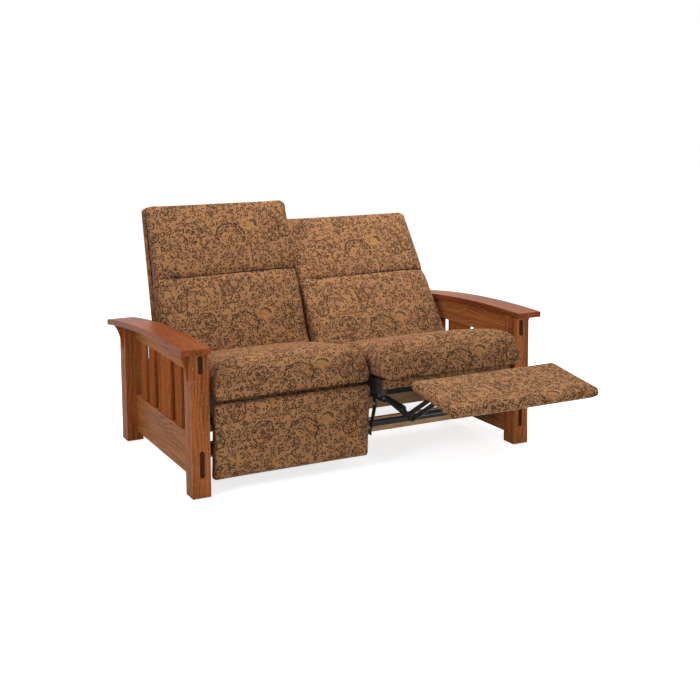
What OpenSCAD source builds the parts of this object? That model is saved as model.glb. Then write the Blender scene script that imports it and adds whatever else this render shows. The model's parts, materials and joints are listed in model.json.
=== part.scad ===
// Two-seat reclining settee with an oak frame. Each seat glides forward on swing
// links, leans its back and unfolds a footrest on a pantograph of flat steel links.
// Units are millimetres. X runs left to right, the front faces -Y, Z is up and the
// floor is Z = 0. The left seat is drawn shut, the right seat open, as photographed.

/* [Pose shown] */
// Recline of the left seat, 0 upright to 1 fully back
left_recline = 0; // [0:0.05:1]
// Footrest of the left seat, 0 shut to 1 open
left_footrest = 0; // [0:0.05:1]
// Recline of the right seat, 0 upright to 1 fully back
right_recline = 1; // [0:0.05:1]
// Footrest of the right seat, 0 shut to 1 open
right_footrest = 1; // [0:0.05:1]

/* [Legs and glides] */
// Width over the outer faces of the legs
frame_w = 1680; // [1640:10:1800]
// Depth over the front and rear faces of the legs
frame_d = 1010; // [960:10:1060]
// Leg thickness from side to side
leg_w = 80; // [70:1:90]
// Leg thickness from front to back
leg_d = 82; // [70:1:90]
// Diameter of the glide under each leg
glide_d = 36; // [24:1:50]
// Height of the glides
glide_h = 3; // [2:0.5:6]

/* [Arms] */
// Width of an arm board
arm_w = 128; // [110:1:150]
// Thickness of an arm board
arm_t = 26; // [20:1:32]
// Height of the crown of the arm above the floor
arm_top_z = 642; // [620:1:670]
// Distance of the crown in front of the middle of the frame
arm_crown_fwd = 280; // [100:10:400]
// Bending radius of the arm's upper face
arm_bow_r = 6000; // [4500:100:9000]
// Overhang of the arm past the outer face of the legs
arm_out_over = 48; // [40:1:60]
// Overhang of the arm past the front face of the legs
arm_front_over = 29; // [10:1:50]
// Overhang of the arm past the rear face of the legs
arm_rear_over = 44; // [10:1:60]

/* [Side panels] */
// Distance from the outer face of the legs to the face of the rails
panel_inset = 50; // [30:1:56]
// Thickness of the rails
rail_t = 22; // [18:1:24]
// Height of the lower rail's bottom edge above the floor
low_rail_z = 47; // [30:1:80]
// Height of the lower side rails
low_rail_h = 182; // [120:1:200]
// Height of the top rail's bottom edge above the floor
top_rail_z = 503; // [470:1:530]
// Thickness of the slats
slat_t = 14; // [10:1:16]
// Width of a narrow slat, as a share of the length between the legs
slat_share = 0.0993; // [0.08:0.0001:0.11]
// Width of the wide middle slat, as a share of that length
wide_slat_share = 0.2222; // [0.17:0.0001:0.24]
// Gap between neighbouring slats, as a share of that length
slat_gap_share = 0.0544; // [0.04:0.0001:0.06]

/* [Corbels and tenons] */
// Thickness of a corbel
corbel_t = 20; // [14:1:30]
// Height of a corbel
corbel_h = 118; // [90:1:150]
// Reach of a corbel from the leg's outer face
corbel_out = 45; // [30:1:47]
// Thickness of a corbel at its foot
corbel_toe = 3; // [2:0.5:8]
// Width of a through tenon in the front face of a leg
tenon_w = 20; // [14:1:26]
// Distance from the leg's outer face to the middle of the tenons
tenon_in = 43; // [36:1:48]
// Height of the lower tenon above the floor
low_tenon_z = 87; // [70:1:110]
// Length of the lower tenon
low_tenon_h = 114; // [80:1:130]
// Height of the upper tenon above the floor
top_tenon_z = 524; // [505:1:535]
// Length of the upper tenon
top_tenon_h = 76; // [50:1:78]
// Depth that a tenon is let into the leg
tenon_deep = 14; // [8:1:20]
// Distance that a tenon stands proud of the leg
tenon_proud = 1.5; // [0.5:0.5:3]

/* [Base] */
// Height of the raw cross rails that carry the steelwork
cross_rail_h = 68; // [50:1:80]
// Distance of the front cross rail in front of the middle of the frame
front_cross_fwd = 131; // [110:1:160]
// Distance of the rear cross rail behind the middle of the frame
rear_cross_back = 240; // [220:1:260]
// Height of the rear rail between the rear legs
rear_rail_h = 340; // [100:1:350]
// Height of a steel base plate
base_plate_h = 50; // [44:1:56]
// Width of the foot flange of a base plate
base_flange_w = 30; // [20:1:40]
// Side of the square tubes between the base plates
base_tube_w = 24; // [18:1:26]
// Wall of the square tubes
base_tube_wall = 2; // [1.5:0.5:3]
// Distance of the front tube's middle in front of the middle of the frame
front_tube_fwd = 322; // [315:1:324]
// Distance of the rear tube's middle behind the middle of the frame
rear_tube_back = 150; // [120:1:180]

/* [Seats] */
// Gap between a seat cushion and the inner face of the side rails
seat_side_gap = 32; // [28:1:60]
// Gap between the two seat cushions
seat_gap = 8; // [6:1:20]
// Height of the underside of the seat cushion, seat upright
seat_bottom_z = 393.7; // [390:0.1:400]
// Distance of the cushion's front in front of the middle of the frame
seat_front_fwd = 503; // [490:1:515]
// Distance of the cushion's rear behind the middle of the frame
seat_rear_back = 92; // [70:1:96]
// Height of the cushion's boxing at the middle of its sides
seat_side_h = 128; // [110:1:150]
// Rise of the crown above the edges
seat_crown = 26; // [10:1:40]
// Share by which the cushion is thicker at its front and thinner at its rear
seat_fall_share = 0.32; // [0:0.01:0.36]
// Rounding of the cushion's edges
seat_edge_r = 44; // [20:1:48]
// Thickness of the wooden seat rails
seat_rail_t = 22; // [18:1:24]
// Height of the seat's side rails
seat_rail_h = 74; // [66:1:80]
// Height of the seat's front rail
seat_front_rail_h = 44; // [36:1:46]
// Clear gap between a soft part and what it rests on
soft_gap = 0.3; // [0.2:0.1:0.5]
// Wire thickness of the seat springs
spring_wire = 3.4; // [3:0.1:4]
// Loop radius of the seat springs
spring_r = 13; // [10:1:16]
// Straight run between the loops of a seat spring
spring_run = 26; // [16:1:34]
// Number of springs under a seat
spring_count = 5; // [3:1:6]

/* [Backs] */
// Lean of the rear face of the back from upright
back_lean = 13.4; // [11:0.1:15]
// Distance of the rear face behind the middle, at the hinge's height
back_rear = 279; // [270:1:290]
// Height of the top of the back above the hinge, along its lean
back_h = 812; // [760:1:850]
// Height of the cushion's lower end above the hinge, along its lean
back_low = 76; // [74:1:110]
// Height of the cross seam above the hinge, along its lean
back_seam = 455; // [380:1:480]
// Depth of the back at the cushion's lower end
back_deep = 199; // [180:1:205]
// Depth of the back at its top
back_top_deep = 82; // [74:1:100]
// Distance that each side of a back stands in from the cushion's side
back_side_in = 2; // [2:1:20]
// Depth that the cross seam is drawn in
seam_deep = 26; // [10:1:34]
// Fullness of each section of the back cushion
back_full = 12; // [4:1:18]
// Distance from the rear face to the cushion
back_core = 48; // [46:1:54]
// Height of the back frame's middle rail, along the lean
back_rail_at = 432; // [400:1:460]
// Wall of the outside back cover
cover_t = 8; // [5:1:10]
// Height of the cover's lower end above the hinge
cover_low = 70; // [60:1:80]
// Thickness of the wooden back frame
back_frame_t = 30; // [24:1:32]
// Width of the posts and rails of the back frame
back_post_w = 45; // [35:1:50]

/* [Footrests] */
// Length of the footrest pad from its upper to its lower edge, shut
pad_len = 328; // [310:1:332]
// Thickness of the padding
pad_t = 40; // [30:1:44]
// Extra height of the padding in its middle
pad_crown = 6; // [2:1:8]
// Thickness of the footrest board
board_t = 12; // [10:1:15]
// Margin of the board inside the pad
board_in = 8; // [4:1:16]
// Distance of the pad's upper edge in front of the middle, shut
pad_fwd = 502; // [500:1:506]
// Height of the pad's upper edge above the floor, shut
pad_top_z = 381; // [376:1:384]
// Angle by which the shut pad leans forward at its top
pad_lean = 4.5; // [3:0.1:6]
// Distance that the upper edge travels forward, against the seat
pad_travel = 226; // [200:1:235]
// Distance that the upper edge rises, against the seat
pad_rise = 57; // [45:1:65]
// Angle by which the footrest turns against the seat
pad_turn = 82.8; // [76:0.1:86]

/* [Steel links] */
// Thickness of the flat steel
plate_t = 4; // [3:0.25:4]
// Gap between neighbouring layers of steel
plate_gap = 0.3; // [0.2:0.1:0.5]
// Distance from a cushion's side to the inner face of the seat plates
plate_in = 58; // [50:1:70]
// Width of the swing links
swing_w = 24; // [20:1:26]
// Width of the footrest links
link_w = 20; // [16:1:22]
// Width of the seat plates
seat_plate_w = 40; // [34:1:42]
// Diameter of the rivets
pin_d = 8; // [6:0.5:8]
// Diameter of the rivet heads
head_d = 15; // [12:1:16]
// Thickness of the rivet heads
head_t = 2; // [1.5:0.25:2.5]
// Running clearance of a rivet in its hole
pin_clear = 0.05; // [0.03:0.01:0.08]
// Length of the swing links between their pivots
swing_len = 130; // [125:1:150]
// Forward travel of the seat at the back hinge
glide_fwd = 110; // [90:1:115]
// Drop of the seat at the back hinge
glide_drop = 10; // [0:1:15]
// Backward tilt of the seat over its travel
seat_tilt = 3; // [1:0.5:4]
// Backward turn of the back over its travel
back_turn = 15; // [12:0.5:16]
// Length of the lift link from its pivot to the push link
lift_len = 190; // [186:1:192]
// Length of the lift link beyond the push link
lift_tail = 40; // [36:1:42]
// Length of the push link between its outer pivots
push_len = 220; // [216:1:224]
// Length of the push link's tail
push_tail = 40; // [36:1:44]
// Angle between the push link and its tail
push_bend = 110; // [100:1:120]
// Side of the square tube between the prop links
prop_tube_w = 16; // [12:1:17]

/* [Hidden] */

// Colours
oak = [0.50, 0.25, 0.12];
dark_oak = [0.22, 0.12, 0.08];
raw_wood = [0.80, 0.66, 0.46];
steel = [0.12, 0.12, 0.13];
fabric = [0.50, 0.38, 0.24];
left = -1;
right = 1;
cut = 1;
round_fn = 48;
arc_fn = 96;

// Pivots of the shut and upright seat, as [distance behind the middle, height]
back_pivot_back = 130;
back_pivot_z = 330;
rear_swing_back = 60;
rear_swing_z = 250;
front_swing_fwd = 300;
front_swing_z = 260;
lift_pivot_fwd = 395;
lift_pivot_z = 300;
guide_pivot_fwd = 350.3;
guide_pivot_z = 304.1;
back_pivot = [back_pivot_back, back_pivot_z];
rear_swing_top = [rear_swing_back, rear_swing_z];
front_swing_top = [-front_swing_fwd, front_swing_z];
lift_pivot = [-lift_pivot_fwd, lift_pivot_z];
guide_pivot = [-guide_pivot_fwd, guide_pivot_z];
// Depth of the footrest pivots behind the pad's face, and their places along it
bracket_pivot_t = 66;
push_pivot_s = 60;
prop_pivot_s = push_pivot_s + 0.985 * lift_tail;

// Plane geometry
function turned(p, a) = [p.x * cos(a) - p.y * sin(a), p.x * sin(a) + p.y * cos(a)];
function polar(r, a) = [r * cos(a), r * sin(a)];
function bearing(p) = let (a = atan2(p.y, p.x)) a < 0 ? a + 360 : a;
function mix(a, b, k) = a + k * (b - a);
// Lower crossing of two circles, each given by a centre and a radius
function lower_crossing(p, rp, q, rq) =
    let (d = q - p, l = norm(d), a = (rp * rp - rq * rq + l * l) / (2 * l),
         h = sqrt(max(0, rp * rp - a * a)), n = [-d.y, d.x] / l, m = p + a * d / l,
         one = m + h * n, two = m - h * n)
    one.y < two.y ? one : two;
// Centre of a turn that takes a point from p to q on a radius r, below them
function turn_centre(p, q, r) =
    let (d = q - p, l = norm(d), n = [-d.y, d.x] / l, m = (p + q) / 2,
         h = sqrt(max(0, r * r - l * l / 4)))
    n.y < 0 ? m + h * n : m - h * n;

// Seat travel: where a point of the seat goes when the seat is fully forward
function seat_end(p) = back_pivot + [-glide_fwd, -glide_drop] + turned(p - back_pivot, -seat_tilt);
rear_swing_foot = turn_centre(rear_swing_top, seat_end(rear_swing_top), swing_len);
front_swing_foot = turn_centre(front_swing_top, seat_end(front_swing_top), swing_len);
rear_swing_a = [bearing(rear_swing_top - rear_swing_foot),
                bearing(seat_end(rear_swing_top) - rear_swing_foot)];
front_swing_a = [bearing(front_swing_top - front_swing_foot),
                 bearing(seat_end(front_swing_top) - front_swing_foot)];

// Footrest travel, seen from the seat
pad_edge_shut = [-pad_fwd, pad_top_z];
pad_edge_open = pad_edge_shut + [-pad_travel, pad_rise];
pad_down_shut = polar(1, 270 + pad_lean);
pad_down_open = turned(pad_down_shut, -pad_turn);
function on_pad_shut(s, t) = pad_edge_shut + s * pad_down_shut + t * turned(pad_down_shut, 90);
function on_pad_open(s, t) = pad_edge_open + s * pad_down_open + t * turned(pad_down_open, 90);
push_end = [on_pad_shut(push_pivot_s, bracket_pivot_t), on_pad_open(push_pivot_s, bracket_pivot_t)];
lift_end = [lower_crossing(lift_pivot, lift_len, push_end[0], push_len),
            lower_crossing(lift_pivot, lift_len, push_end[1], push_len)];
lift_a = [bearing(lift_end[0] - lift_pivot), bearing(lift_end[1] - lift_pivot)];
push_a = [bearing(push_end[0] - lift_end[0]), bearing(push_end[1] - lift_end[1])];
prop_foot = [lift_pivot + polar(lift_len + lift_tail, lift_a[0]),
             lift_pivot + polar(lift_len + lift_tail, lift_a[1])];
prop_end = [on_pad_shut(prop_pivot_s, bracket_pivot_t), on_pad_open(prop_pivot_s, bracket_pivot_t)];
prop_a = [bearing(prop_end[0] - prop_foot[0]), bearing(prop_end[1] - prop_foot[1])];
prop_len = norm(prop_end[0] - prop_foot[0]);
guide_end = [lift_end[0] + polar(push_tail, push_a[0] - push_bend),
             lift_end[1] + polar(push_tail, push_a[1] - push_bend)];
guide_a = [bearing(guide_end[0] - guide_pivot), bearing(guide_end[1] - guide_pivot)];
guide_len = norm(guide_end[0] - guide_pivot);

// Widths that follow the frame
panel_x = frame_w / 2 - panel_inset - rail_t / 2;
seat_w = panel_x - rail_t / 2 - seat_side_gap - seat_gap / 2;
seat_pitch = seat_w + seat_gap;
back_w = seat_w - 2 * back_side_in;
plate_x = seat_w / 2 - plate_in;

// State of each seat
function recline_of(side) = side == left ? left_recline : right_recline;
function footrest_of(side) = side == left ? left_footrest : right_footrest;
function seat_x(side) = side * seat_pitch / 2;

// Soft parts
ring_n = 44;
soft_power = 9;
seat_pull = 7;
// Rounded rectangle of half sizes a and b, drawn in between its corners
function signed_power(v, e) = sign(v) * pow(abs(v), e);
function soft_ring(a, b, pull) =
    [for (j = [0 : ring_n - 1])
        let (t = 360 * j / ring_n, k = pull * pow(cos(2 * t), 2))
        [(a - k) * signed_power(cos(t), 2 / soft_power), (b - k) * signed_power(sin(t), 2 / soft_power)]];

// Levels of a cushion: share of the edge rounding drawn in, then height as a share
edge_angles = [0, 35, 65, 90];
crown_shares = [0.86, 0.62, 0.34];
// Rings of a boxed cushion that lies flat, with its middle at the origin
function cushion_rings(a, b, h, r, crown, pull) =
    let (low_r = r / 2)
    concat(
        [for (k = edge_angles) let (in = low_r * (1 - sin(k)), z = low_r * (1 - cos(k)))
            [for (p = soft_ring(a - in, b - in, 0)) [p.x, p.y, z]]],
        [[for (p = soft_ring(a, b, pull)) [p.x, p.y, (h + low_r - r) / 2]]],
        [for (k = edge_angles) let (in = r * (1 - cos(k)), z = h - r + r * sin(k))
            [for (p = soft_ring(a - in, b - in, 0)) [p.x, p.y, z]]],
        [for (s = crown_shares)
            [for (p = soft_ring((a - r) * s, (b - r) * s, 0)) [p.x, p.y, h + crown * (1 - s * s)]]]);

pad_edge_r = 16;
pad_pull = 3;
function pad_rings() = cushion_rings(seat_w / 2, pad_len / 2, pad_t, pad_edge_r, pad_crown, pad_pull);
// The pad's skin as [across, down the pad, depth behind the face]
function pad_points() =
    [for (r = pad_rings(), p = r) [p.x, pad_len / 2 - p.y, pad_t - p.z]];

// Whole outline at the pose shown, which sets the origin below its middle
function seat_point(p, r) =
    rear_swing_foot + polar(swing_len, mix(rear_swing_a[0], rear_swing_a[1], r))
    + turned(p - rear_swing_top, -seat_tilt * r);
function pad_point(s, t, f) =
    let (c = lift_pivot + polar(lift_len, mix(lift_a[0], lift_a[1], f)),
         e = c + polar(push_len, mix(push_a[0], push_a[1], f)))
    e + turned(on_pad_shut(s, t) - push_end[0], -pad_turn * f);
function pad_reach(side) =
    min([for (p = pad_points()) seat_point(pad_point(p.y, p.z, footrest_of(side)), recline_of(side)).x]);
arm_front_y = -frame_d / 2 - arm_front_over;
arm_rear_y = frame_d / 2 + arm_rear_over;
front_y = min(pad_reach(left), pad_reach(right), arm_front_y);
middle_y = (front_y + arm_rear_y) / 2;

// Wooden frame values
leg_x = frame_w / 2 - leg_w / 2;
leg_y = frame_d / 2 - leg_d / 2;
panel_span = frame_d - 2 * leg_d;
slat_w = slat_share * panel_span;
wide_slat_w = wide_slat_share * panel_span;
slat_gap = slat_gap_share * panel_span;
arm_x = frame_w / 2 + arm_out_over - arm_w / 2;
corbel_steps = 12;
bar_steps = 16;
rear_rail_y = frame_d / 2 - leg_d / 2;
tenon_y = -frame_d / 2;

// Steel values
function layer_x(k) = plate_x - k * (plate_t + plate_gap);
plate_out = plate_x + plate_t;
base_low_z = low_rail_z + cross_rail_h;
base_mid_z = base_low_z + base_plate_h / 2;
base_front = -front_swing_foot.x + swing_w / 2;
base_plate_front_y = front_swing_foot.x - swing_w / 2;
base_plate_rear_y = rear_cross_back + rail_t + swing_w / 2;
front_tube_z = base_low_z + base_plate_h - base_tube_w / 2 - plate_t / 2;
open_pin_clear = 2.5;
head_clear = 0.05;
seat_rail_top_z = seat_bottom_z - soft_gap - spring_wire;
seat_rear_rail_y = seat_rear_back - seat_rail_t / 2 + soft_gap;
front_rail_gap = 10;
seat_front_rail_y = -pad_fwd + pad_t + board_t + seat_rail_t / 2 + front_rail_gap;
window_d = 26;
window_share = [0.30, 0.52];

module yz_plate(x, t) translate([x, 0, 0]) rotate([90, 0, 90]) linear_extrude(t) children();

module both_sides(x) {
    translate([x, 0, 0]) children();
    translate([x, 0, 0]) mirror([1, 0, 0]) children();
}

module turn_about(p, a) translate([0, p.x, p.y]) rotate([a, 0, 0]) translate([0, -p.x, -p.y]) children();

// Flat bar with round ends
module bar_2d(p, q, w) {
    a = bearing(q - p);
    polygon(concat(
        [for (k = [0 : bar_steps]) p + polar(w / 2, a + 90 + 180 * k / bar_steps)],
        [for (k = [0 : bar_steps]) q + polar(w / 2, a - 90 + 180 * k / bar_steps)]));
}

module hole_2d(p, clear) translate(p) circle(d = pin_d + 2 * clear, $fn = round_fn);

module pin(p, x_in, x_out) translate([x_in, p.x, p.y]) rotate([0, 90, 0])
    cylinder(d = pin_d, h = x_out - x_in, $fn = round_fn);

module head(p, x) translate([x, p.x, p.y]) rotate([0, 90, 0])
    cylinder(d = head_d, h = head_t, $fn = round_fn);

// Rivet from one layer to a deeper one, flush with the steel where it has no head
module rivet(p, outer, inner, outer_head = true, inner_head = true) {
    x_out = layer_x(outer) + plate_t + (outer_head ? head_clear : 0);
    x_in = layer_x(inner) - (inner_head ? head_clear : 0);
    pin(p, x_in, x_out);
    if (outer_head) head(p, x_out);
    if (inner_head) head(p, x_in - head_t);
}

// Moving frames: everything inside is drawn for the shut, upright seat
module on_frame() translate([0, -middle_y, 0]) children();

module on_seat(side) {
    r = recline_of(side);
    p = rear_swing_foot + polar(swing_len, mix(rear_swing_a[0], rear_swing_a[1], r));
    on_frame() translate([0, p.x, p.y]) rotate([-seat_tilt * r, 0, 0])
        translate([0, -rear_swing_top.x, -rear_swing_top.y]) children();
}

module on_back(side)
    on_seat(side) turn_about(back_pivot, -(back_turn - seat_tilt) * recline_of(side)) children();

module on_lift(side)
    on_seat(side) turn_about(lift_pivot, (lift_a[1] - lift_a[0]) * footrest_of(side)) children();

module on_push(side)
    on_lift(side) turn_about(lift_end[0], (push_a[1] - push_a[0] - lift_a[1] + lift_a[0]) * footrest_of(side))
        children();

module on_footrest(side)
    on_push(side) turn_about(push_end[0], (-pad_turn - push_a[1] + push_a[0]) * footrest_of(side)) children();

// Closed skin over rings of points, each ring running the same way round
module loft(rings, foot, top) {
    n = len(rings[0]);
    m = len(rings);
    points = concat([for (r = rings) each r], [foot, top]);
    sides = [for (i = [0 : m - 2], j = [0 : n - 1])
        each [[i * n + j, (i + 1) * n + j, (i + 1) * n + (j + 1) % n],
              [i * n + j, (i + 1) * n + (j + 1) % n, i * n + (j + 1) % n]]];
    foot_fan = [for (j = [0 : n - 1]) [m * n, j, (j + 1) % n]];
    top_fan = [for (j = [0 : n - 1]) [m * n + 1, (m - 1) * n + (j + 1) % n, (m - 1) * n + j]];
    polyhedron(points, concat(sides, foot_fan, top_fan), convexity = 6);
}

module cushion(a, b, h, r, crown, pull, fall = 0)
    loft([for (ring = cushion_rings(a, b, h, r, crown, pull))
            [for (p = ring) [p.x, p.y, p.z * (1 - fall * p.y / b)]]],
        [0, 0, 0], [0, 0, h + crown]);

// Half sections of the back cushion, as shares of each section's height
section_shares = [0, 0.07, 0.2, 0.4, 0.6, 0.8, 0.93, 1];
function fullness(k) = pow(sin(180 * k), 0.5);
function back_front(z) = mix(back_deep, back_top_deep, (z - back_low) / (back_h - back_low));
function back_ring(z, front, half) =
    let (deep = front - back_core)
    [for (p = soft_ring(half, deep / 2, 0))
        [p.x, -back_core - deep / 2 + p.y - (p.y < 0 ? back_full * (1 - pow(p.x / half, 2)) : 0), z]];
end_in = 30;
function section_rings(z0, z1, low_in, top_in) =
    [for (k = section_shares)
        let (z = mix(z0, z1, k), f = fullness(k), tuck = (1 - f) * (k < 0.5 ? low_in : top_in))
        back_ring(z, back_front(z) - tuck, back_w / 2 - tuck / 3)];
function back_rings() = concat(
    section_rings(back_low, back_seam, end_in, seam_deep),
    [for (r = [1 : len(section_shares) - 1])
        section_rings(back_seam, back_h, seam_deep, end_in)[r]]);

// Wooden frame

module under_arm_2d(drop) {
    r = arm_bow_r - drop;
    translate([-arm_crown_fwd, arm_top_z - arm_bow_r]) circle(r = r, $fn = 720);
}

module leg(side, end) color(oak) on_frame() {
    translate([side * leg_x, end * leg_y, 0]) difference() {
        translate([0, -end * leg_y, 0]) yz_plate(-leg_w / 2, leg_w) intersection() {
            under_arm_2d(arm_t);
            translate([end * leg_y - leg_d / 2, glide_h]) square([leg_d, arm_top_z]);
        }
        if (end < 0) translate([-side * leg_x, -end * leg_y, 0]) {
            tenon(side, low_tenon_z, low_tenon_h);
            tenon(side, top_tenon_z, top_tenon_h);
        }
    }
}

module arm(side) color(oak) on_frame()
    translate([side * arm_x, 0, 0]) yz_plate(-arm_w / 2, arm_w) intersection() {
        difference() {
            under_arm_2d(0);
            under_arm_2d(arm_t);
        }
        translate([arm_front_y, 0]) square([arm_rear_y - arm_front_y, arm_top_z + cut]);
    }

module top_rail(side) color(oak) on_frame()
    translate([side * panel_x, 0, 0]) yz_plate(-rail_t / 2, rail_t) intersection() {
        under_arm_2d(arm_t);
        translate([-panel_span / 2, top_rail_z]) square([panel_span, arm_top_z]);
    }

module low_rail(side) color(oak) on_frame()
    translate([side * panel_x - rail_t / 2, -panel_span / 2, low_rail_z])
        cube([rail_t, panel_span, low_rail_h]);

module slats(side) color(oak) on_frame() {
    z0 = low_rail_z + low_rail_h;
    first = wide_slat_w / 2 + slat_gap + slat_w / 2;
    places = [[0, wide_slat_w], each [for (s = [-1, 1], k = [0, 1])
        [s * (first + k * (slat_w + slat_gap)), slat_w]]];
    for (p = places) translate([side * panel_x - slat_t / 2, p[0] - p[1] / 2, z0])
        cube([slat_t, p[1], top_rail_z - z0]);
}

module corbel_2d() {
    curve = [for (k = [0 : corbel_steps]) let (a = 90 * k / corbel_steps)
        [corbel_toe + (corbel_out - corbel_toe) * (1 - sin(a)), -corbel_h * (1 - pow(1 - cos(a), 0.8))]];
    polygon(concat([[0, -corbel_h], [0, corbel_toe], [corbel_out, corbel_toe]],
        [for (k = [0 : corbel_steps]) [curve[k].x, -corbel_h - curve[k].y]]));
}

module corbels() color(oak) on_frame()
    for (s = [left, right], e = [-1, 1]) intersection() {
        translate([s * frame_w / 2, e * leg_y + corbel_t / 2, under_arm_z(e * (leg_y - corbel_t / 2))])
            rotate([90, 0, 0]) mirror([s < 0 ? 1 : 0, 0, 0]) linear_extrude(corbel_t) corbel_2d();
        yz_plate(s < 0 ? -frame_w : 0, frame_w) under_arm_2d(arm_t);
    }

function under_arm_z(y) =
    arm_top_z - arm_bow_r + sqrt(pow(arm_bow_r - arm_t, 2) - pow(y + arm_crown_fwd, 2));

// Round-ended bar let into the front of a leg
module tenon(side, z, h) {
    x = side * (frame_w / 2 - tenon_in);
    translate([x, tenon_y - tenon_proud, z + tenon_w / 2]) rotate([-90, 0, 0])
        cylinder(d = tenon_w, h = tenon_deep + tenon_proud, $fn = round_fn);
    translate([x, tenon_y - tenon_proud, z + h - tenon_w / 2]) rotate([-90, 0, 0])
        cylinder(d = tenon_w, h = tenon_deep + tenon_proud, $fn = round_fn);
    translate([x - tenon_w / 2, tenon_y - tenon_proud, z + tenon_w / 2])
        cube([tenon_w, tenon_deep + tenon_proud, h - tenon_w]);
}

module tenons() color(dark_oak) on_frame()
    for (s = [left, right]) {
        tenon(s, low_tenon_z, low_tenon_h);
        tenon(s, top_tenon_z, top_tenon_h);
    }

module foot_glides() color(steel) on_frame()
    for (s = [-1, 1], e = [-1, 1]) translate([s * leg_x, e * leg_y, 0])
        cylinder(d = glide_d, h = glide_h, $fn = round_fn);

module rear_rail() color(oak) on_frame()
    translate([-leg_x + leg_w / 2, rear_rail_y - rail_t / 2, low_rail_z])
        cube([2 * leg_x - leg_w, rail_t, rear_rail_h]);

module cross_rails() color(raw_wood) on_frame() {
    half = panel_x - rail_t / 2;
    for (y = [-front_cross_fwd, rear_cross_back]) translate([-half, y, low_rail_z])
        cube([2 * half, rail_t, cross_rail_h]);
}

module square_tube(half, w, wall) difference() {
    translate([-half, -w / 2, -w / 2]) cube([2 * half, w, w]);
    translate([-half - cut, -w / 2 + wall, -w / 2 + wall])
        cube([2 * half + 2 * cut, w - 2 * wall, w - 2 * wall]);
}

module base_tubes() color(steel) on_frame()
    for (s = [left, right], y = [-front_tube_fwd, rear_tube_back])
        translate([seat_x(s), y, front_tube_z]) square_tube(plate_x, base_tube_w, base_tube_wall);

// Steelwork of one seat

module base_plates(side) color(steel) on_frame() both_sides(seat_x(side)) {
    r = swing_w / 2;
    yz_plate(layer_x(0), plate_t) difference() {
        translate([base_plate_front_y, base_low_z])
            square([base_plate_rear_y - base_plate_front_y, base_plate_h]);
        hole_2d(front_swing_foot, pin_clear);
        hole_2d(rear_swing_foot, pin_clear);
    }
    translate([plate_out, -front_cross_fwd - r, base_low_z])
        cube([base_flange_w, base_plate_rear_y + front_cross_fwd + r, plate_t]);
}

module base_rivets(side) color(steel) on_frame() both_sides(seat_x(side)) {
    rivet(front_swing_foot, 0, 1);
    rivet(rear_swing_foot, 0, 1);
}

module swing_links(side, foot, top, angles, top_clear) color(steel) on_frame()
    turn_about(foot, (angles[1] - angles[0]) * recline_of(side))
        both_sides(seat_x(side)) yz_plate(layer_x(1), plate_t) difference() {
            bar_2d(foot, top, swing_w);
            hole_2d(foot, pin_clear);
            hole_2d(top, top_clear);
        }

module rear_swing_links(side)
    swing_links(side, rear_swing_foot, rear_swing_top, rear_swing_a, pin_clear);

module front_swing_links(side)
    swing_links(side, front_swing_foot, front_swing_top, front_swing_a, open_pin_clear);

module seat_plates(side) color(steel) on_seat(side) both_sides(seat_x(side))
    yz_plate(layer_x(0), plate_t) difference() {
        union() {
            bar_2d(lift_pivot, back_pivot, seat_plate_w);
            bar_2d(front_swing_top, [front_swing_top.x, lift_pivot.y], swing_w);
            bar_2d(rear_swing_top, [rear_swing_top.x, back_pivot.y], swing_w);
        }
        for (p = [lift_pivot, guide_pivot, front_swing_top, rear_swing_top, back_pivot])
            hole_2d(p, pin_clear);
        for (k = window_share) translate(mix(lift_pivot, back_pivot, k)) circle(d = window_d, $fn = round_fn);
    }

module seat_rivets(side) color(steel) on_seat(side) both_sides(seat_x(side)) {
    for (p = [lift_pivot, front_swing_top, rear_swing_top, back_pivot]) rivet(p, 0, 1);
    rivet(guide_pivot, 0, 3);
}

module lift_links(side) color(steel) on_lift(side) both_sides(seat_x(side)) {
    yz_plate(layer_x(1), plate_t) difference() {
        bar_2d(lift_pivot, prop_foot[0], link_w);
        for (p = [lift_pivot, lift_end[0], prop_foot[0]]) hole_2d(p, pin_clear);
    }
    rivet(lift_end[0], 1, 2, inner_head = false);
    rivet(prop_foot[0], 1, 3);
}

module guide_links(side) color(steel) on_seat(side)
    turn_about(guide_pivot, (guide_a[1] - guide_a[0]) * footrest_of(side)) both_sides(seat_x(side)) {
        yz_plate(layer_x(3), plate_t) difference() {
            bar_2d(guide_pivot, guide_end[0], link_w);
            hole_2d(guide_pivot, pin_clear);
        }
        head(guide_end[0], layer_x(3) - head_t);
    }

module push_links(side) color(steel) on_push(side) both_sides(seat_x(side)) {
    yz_plate(layer_x(2), plate_t) difference() {
        union() {
            bar_2d(lift_end[0], push_end[0], link_w);
            bar_2d(lift_end[0], guide_end[0], link_w);
        }
        for (p = [lift_end[0], push_end[0]]) hole_2d(p, pin_clear);
    }
    rivet(push_end[0], 2, 4);
}

module centred_bar(half, w) translate([-half, -w / 2, -w / 2]) cube([2 * half, w, w]);

module prop_links(side) color(steel) {
    f = footrest_of(side);
    tube = mix(prop_foot[0], prop_end[0], prop_tube_share);
    on_lift(side) turn_about(prop_foot[0], (prop_a[1] - prop_a[0] - lift_a[1] + lift_a[0]) * f) difference() {
        union() {
            both_sides(seat_x(side)) yz_plate(layer_x(3), plate_t) difference() {
                bar_2d(prop_foot[0], prop_end[0], link_w);
                hole_2d(prop_foot[0], pin_clear);
                hole_2d(prop_end[0], open_pin_clear);
            }
            translate([seat_x(side), tube.x, tube.y]) rotate([prop_a[0] - 90, 0, 0])
                centred_bar(layer_x(3), prop_tube_w);
        }
        translate([seat_x(side), tube.x, tube.y]) rotate([prop_a[0] - 90, 0, 0])
            centred_bar(plate_x, prop_tube_w - 2 * base_tube_wall);
    }
}
prop_tube_share = 0.3;

// Footrest

bracket_flange = 26;
bracket_end = 22;
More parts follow.
